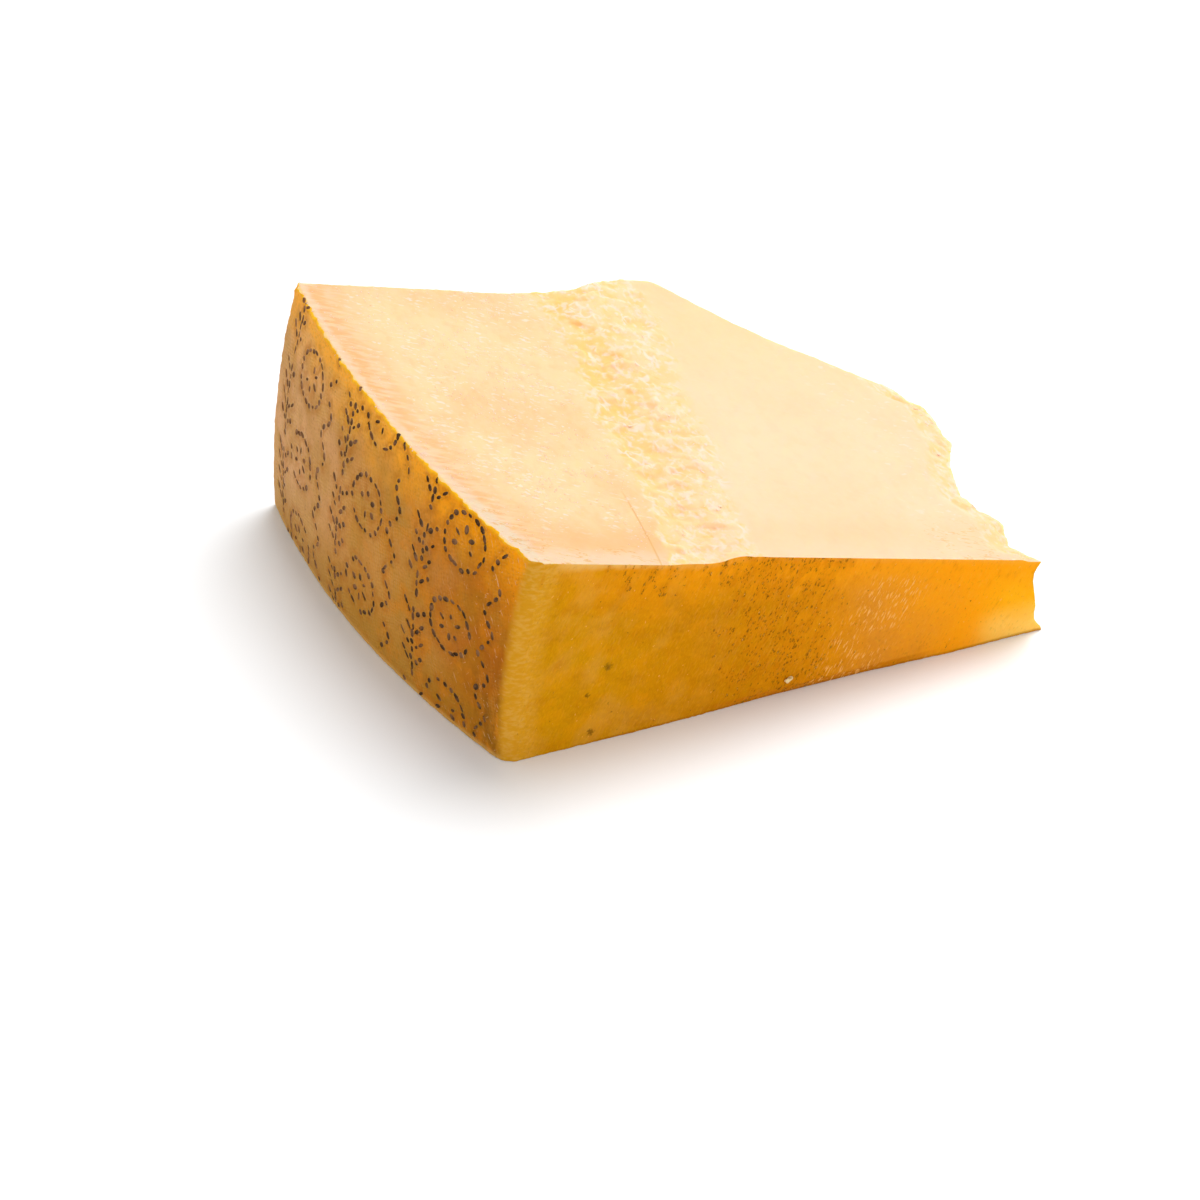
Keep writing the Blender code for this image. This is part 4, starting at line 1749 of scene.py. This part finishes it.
@dataclass(frozen=True)
class SideRindFinish:
    """The wheel's side: tan rind with the print of a cloth, orange near the cut, partly as painted glow,
    and greyer far off as a painted sheen.
    """

    surface: Surface = Surface(
        "cheese_rind_side", 0.15, gloss=0.03, gloss_tint=RIND_SHINE, bump_depth=0.15 * MM, bump_strength=0.7
    )
    tan: Colour = (0.445, 0.122, 0.004, 1.0)
    middle: Colour = (0.56, 0.245, 0.046, 1.0)
    # painted sheen: the grey of a grazing reflection far off
    far: Colour = (0.675, 0.35, 0.15, 1.0)
    olive: Colour = (0.415, 0.198, 0.008, 1.0)
    # orange and gold near the top edge: partly the rind's colour and partly painted glow from the lit cut
    orange: Colour = (0.92, 0.325, 0.0, 1.0)
    gold: Colour = (1.0, 0.42, 0.03, 1.0)
    lucid: Colour = (0.92, 0.50, 0.02, 1.0)
    rust: Colour = (0.64, 0.205, 0.006, 1.0)
    # pale of the cloth's print, and painted light along the foot
    pale: Colour = (0.80, 0.48, 0.14, 1.0)
    stain: Colour = (0.20, 0.075, 0.003, 1.0)
    scratch: Colour = (0.78, 0.48, 0.26, 1.0)
    ring: Colour = (0.42, 0.125, 0.006, 1.0)
    thread: float = 1.45
    printed: Patches = Patches((2.6, 2.6, 4.0), 0.25, 0.6, shift=17.0, detail=3.0)
    print_clouds: Patches = Patches((16, 16, 16), 0.36, 0.62, shift=4.0)
    olive_clouds: Patches = Patches((11, 11, 11), 0.38, 0.62)
    rust_clouds: Patches = Patches((7, 7, 7), 0.46, 0.66, shift=6.0, detail=3.0)
    grain: Patches = Patches((0.8, 0.8, 0.8), 0.45, 0.75, shift=5.0, detail=3.0)
    dust: Flecks = Flecks((1.1, 1.1, 1.1), 0.3, 0.25)
    soil: Patches = Patches((2.2, 2.2, 6.0), 0.35, 0.6, shift=1.0, detail=4.0)
    scratches: tuple[Streaks, Streaks] = (
        Streaks((math.radians(35), math.radians(90), 0.0), 4.0, 0.5, 0.66, 0.7),
        Streaks((math.radians(-50), math.radians(90), 0.0), 4.0, 0.5, 0.68, 0.72),
    )
    ringed: Patches = Patches((4, 4, 4), 0.26, 0.54, shift=13.0)

    def cloth(self, coat: Coat) -> Value:
        """Lays the print of a cloth's threads over the side, up to 1 on the threads."""
        graph = coat.graph
        _, y, z = graph.apart(graph.bent(coat.place, 0.12, 3.2))
        turns = 2 * math.pi / self.thread
        first = graph.math("SINE", (y * 0.9 + z * 0.5) * turns)
        second = graph.math("SINE", (z - y * 0.5) * turns)
        return (first * second * 0.5 + 0.5) * coat.patches(self.printed)

    def paint_ground(self, coat: Coat) -> None:
        """Paints the side's broad colours, with a painted sheen far off and painted glow near the top edge.
        """
        y, z = coat.y, coat.z
        deep = y + coat.wander(14.0, 15.0, detail=2.0)
        coat.ground(deep.rise(8.0, 45.0), self.tan, self.middle)
        # painted sheen: greyer and paler far from the flat face, where the side is seen at a grazing angle
        coat.paint(self.far, deep.rise(50.0, 100.0))
        coat.paint(self.olive, coat.most(z.rise(26.0, 4.0), coat.patches(self.olive_clouds) * 0.7) * 0.6)
        coat.paint(self.rust, coat.patches(self.rust_clouds) * y.rise(80.0, 30.0) * 0.6)
        # orange near the top edge, partly the rind's colour and partly painted glow of light passing
        # through from the lit cut
        upper = coat.below_top + coat.wander(7.0, 8.0)
        orange = coat.graph.mix(y.rise(16.0, 62.0), self.orange, self.gold)
        coat.paint(orange, upper.rise(19.0, 4.0) * 0.6)
        coat.paint(orange, upper.rise(7.5, 2.0) * 0.85)

    def paint_wear(self, coat: Coat) -> None:
        """Adds the grain, dust, soil and scratches, the rings round the pricks, and the edges: painted
        light from the floor along the foot, a golden rim along the top and the painted corner highlight.
        """
        y, z = coat.y, coat.z
        coat.paint(self.stain, coat.patches(self.grain) * 0.22)
        coat.paint(self.stain, coat.flecks(self.dust) * 0.35)
        coat.paint(self.stain, y.rise(17.0, 5.0) * z.rise(40.0, 10.0) * coat.patches(self.soil) * 0.6)
        lines = coat.most(*map(coat.streaks, self.scratches))
        coat.paint(self.scratch, lines * y.rise(34.0, 8.0) * 0.5)
        coat.paint(self.ring, coat.graph.attribute("stained") * coat.patches(self.ringed) * 0.6)
        # painted light: the foot of the side lit by the floor's bounce
        coat.paint(self.pale, z.rise(2.2, 0.6) * 0.5)
        coat.paint(self.lucid, coat.below_top.rise(1.5, 0.2) * 0.8)
        # painted highlight along the rounded corner
        corner = y + coat.wander(3.0, 0.8, detail=2.0) * 0.5
        coat.paint(coat.painted_corner_highlight(), corner.rise(3.0, 0.9))

    def material(self, kit: Finishes) -> bpy.types.Material:
        """Builds the finish."""
        coat = Coat(kit, self.surface)
        cloth = self.cloth(coat)
        shown = coat.patches(self.print_clouds) * 0.8 + 0.2
        self.paint_ground(coat)
        coat.paint(self.pale, cloth * shown * (coat.y.rise(30.0, 95.0) * 0.24 + 0.15))
        self.paint_wear(coat)
        height = coat.graph.noise(coat.place, 0.9) * 0.5 + cloth * shown
        return coat.finish(cloth * 0.12 + 0.48, height)


@dataclass(frozen=True)
class PrickFinish:
    """The dark insides of the pricked marks."""

    surface: Surface = Surface("rind_pricks", gloss=0.15)
    dark: Colour = (0.075, 0.034, 0.009, 1.0)
    worn: Colour = (0.40, 0.19, 0.085, 1.0)
    wear: Patches = Patches((2.2, 2.2, 2.2), 0.4, 0.64, shift=1.0)

    def material(self, kit: Finishes) -> bpy.types.Material:
        """Builds the finish."""
        coat = Coat(kit, self.surface)
        patch = coat.patches(self.wear)
        # paler in patches of wear and towards the back
        coat.ground(coat.y.rise(20.0, 110.0) * 0.4 + patch * 0.6, self.dark, self.worn)
        return coat.finish(patch * 0.3 + 0.4, coat.graph.noise(coat.place, 0.4, 2.0))


@dataclass(frozen=True)
class GrainFinish:
    """Small whitish crystals and crumbs."""

    name: str
    light: Colour = (0.83, 0.595, 0.49, 1.0)
    warm: Colour = (0.78, 0.53, 0.35, 1.0)
    mottle: Patches = Patches((1.5, 1.5, 1.5), 0.35, 0.65)

    def material(self, kit: Finishes) -> bpy.types.Material:
        """Builds the finish."""
        coat = Coat(kit, Surface(self.name, bump_depth=0.04 * MM, bump_strength=0.4))
        patch = coat.patches(self.mottle)
        coat.ground(patch, self.light, self.warm)
        return coat.finish(patch * 0.2 + 0.5, coat.graph.noise(coat.place, 0.3, 2.0))


LONE_CRUMB_FINISH = GrainFinish("lone_crumb", light=(0.84, 0.66, 0.36, 1.0), warm=(0.80, 0.58, 0.26, 1.0))


# ---------------------------------------------------------------------------------------------------------
# Floor, light and camera


@dataclass(frozen=True)
class Lamp:
    """A round soft light that hangs somewhere and points at the chunk."""

    name: str
    place: Triple
    size: float
    power: float

    def hang(self) -> None:
        """Hangs the light."""
        light = bpy.data.lights.new(self.name, "AREA")
        light.shape = "DISK"
        light.size = self.size
        light.energy = self.power
        lamp = bpy.data.objects.new(self.name, light)
        lamp.location = self.place
        lamp.rotation_euler = (-Vector(self.place)).to_track_quat("-Z", "Y").to_euler()
        bpy.context.scene.collection.objects.link(lamp)


@dataclass(frozen=True)
class Studio:
    """A pale floor, soft light from the right and behind, and the camera."""

    camera_place: Vector = Vector((-0.19446, -0.55091, 0.48793))  # from the chunk's corner
    camera_turn: float = math.radians(21.578)  # to the right of straight ahead
    camera_dip: float = math.radians(37.066)
    focal_length: float = 100.4
    sensor: float = 36.0
    floor_size: float = 6.0
    floor_colour: Colour = (0.85, 0.885, 0.925, 1.0)
    floor_roughness: float = 0.32
    floor_gloss: float = 0.4
    air_light: float = 0.62
    air_colour: Colour = (1.0, 0.952, 0.885, 1.0)
    lamps: tuple[Lamp, ...] = (
        Lamp("key", (0.53, 0.37, 1.28), 0.95, 19.6),
        Lamp("front", (0.35, -1.25, 0.6), 0.8, 4.8),
        Lamp("left", (-1.3, -0.3, 0.25), 0.8, 2.2),
    )

    def build(self, corner: Vector) -> None:
        """Sets the floor, the lights and the camera round the chunk.

        Args:
            corner: The place of the chunk's corner.
        """
        self._floor()
        scene = bpy.context.scene
        scene.world = scene.world or bpy.data.worlds.new("air")
        scene.world.use_nodes = True
        air = scene.world.node_tree.nodes["Background"]
        air.inputs["Color"].default_value = self.air_colour
        air.inputs["Strength"].default_value = self.air_light
        for lamp in self.lamps:
            lamp.hang()
        self._camera(corner)
        scene.view_settings.view_transform = "Standard"

    def _floor(self) -> None:
        """Lays the floor."""
        half = self.floor_size / 2
        mesh = bpy.data.meshes.new("floor")
        corners = [(-half, -half, 0), (half, -half, 0), (half, half, 0), (-half, half, 0)]
        mesh.from_pydata(corners, [], [(0, 1, 2, 3)])
        floor = new_piece("floor", mesh)
        material = bpy.data.materials.new("floor")
        material.use_nodes = True
        shader = material.node_tree.nodes["Principled BSDF"]
        shader.inputs["Base Color"].default_value = self.floor_colour
        shader.inputs["Roughness"].default_value = self.floor_roughness
        shader.inputs["Specular IOR Level"].default_value = self.floor_gloss
        mesh.materials.append(material)

    def _camera(self, corner: Vector) -> None:
        """Places the camera."""
        camera = bpy.data.cameras.new("camera")
        camera.lens = self.focal_length
        camera.sensor_width = self.sensor
        seat = bpy.data.objects.new("camera", camera)
        level = math.cos(self.camera_dip)
        ahead = Vector(
            (
                math.sin(self.camera_turn) * level,
                math.cos(self.camera_turn) * level,
                -math.sin(self.camera_dip),
            )
        )
        seat.location = corner + self.camera_place
        seat.rotation_euler = ahead.to_track_quat("-Z", "Y").to_euler()
        bpy.context.scene.collection.objects.link(seat)
        bpy.context.scene.camera = seat


def hand_over(piece: bpy.types.Object, corner: Vector) -> None:
    """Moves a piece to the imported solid's place and says what it rides on.

    Args:
        piece: The piece, with the chunk's corner at the origin.
        corner: Where that corner belongs.
    """
    for name in WORKING_ATTRIBUTES:
        if name in piece.data.attributes:
            piece.data.attributes.remove(piece.data.attributes[name])
    piece.data.transform(Matrix.Translation(corner))
    piece.data.shade_smooth()
    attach(piece, BODY)
    log.info("%s: %d faces", piece.name, len(piece.data.polygons))


def main() -> None:
    """Builds the chunk and its surroundings."""
    logging.basicConfig(level=logging.INFO, format="%(message)s")
    chunk = Chunk(1.0)
    low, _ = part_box(NODE)
    corner = Vector((low.x + chunk.wheel.bulge, low.y, 0))
    kit = Finishes(corner, chunk)
    rinds = (SideRindFinish().material(kit), FlatRindFinish().material(kit))
    body = chunk.build(PasteFinish().material(kit), rinds)
    crystals = CRYSTALS.build(body, chunk, GrainFinish("crystals").material(kit))
    crumbs = CRUMBS.build(body, chunk, GrainFinish("crumbs").material(kit))
    lone_crumb = LONE_CRUMB.build(body, chunk, LONE_CRUMB_FINISH.material(kit))
    marks = PrickedMarks()
    marks.stain(body, chunk)
    marks.prick(body, marks.build(chunk, PrickFinish().material(kit)))
    for piece in (body, crystals, crumbs, lone_crumb):
        hand_over(piece, corner)
    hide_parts(NODE)
    Studio().build(corner)


if __name__ == "__main__":
    main()
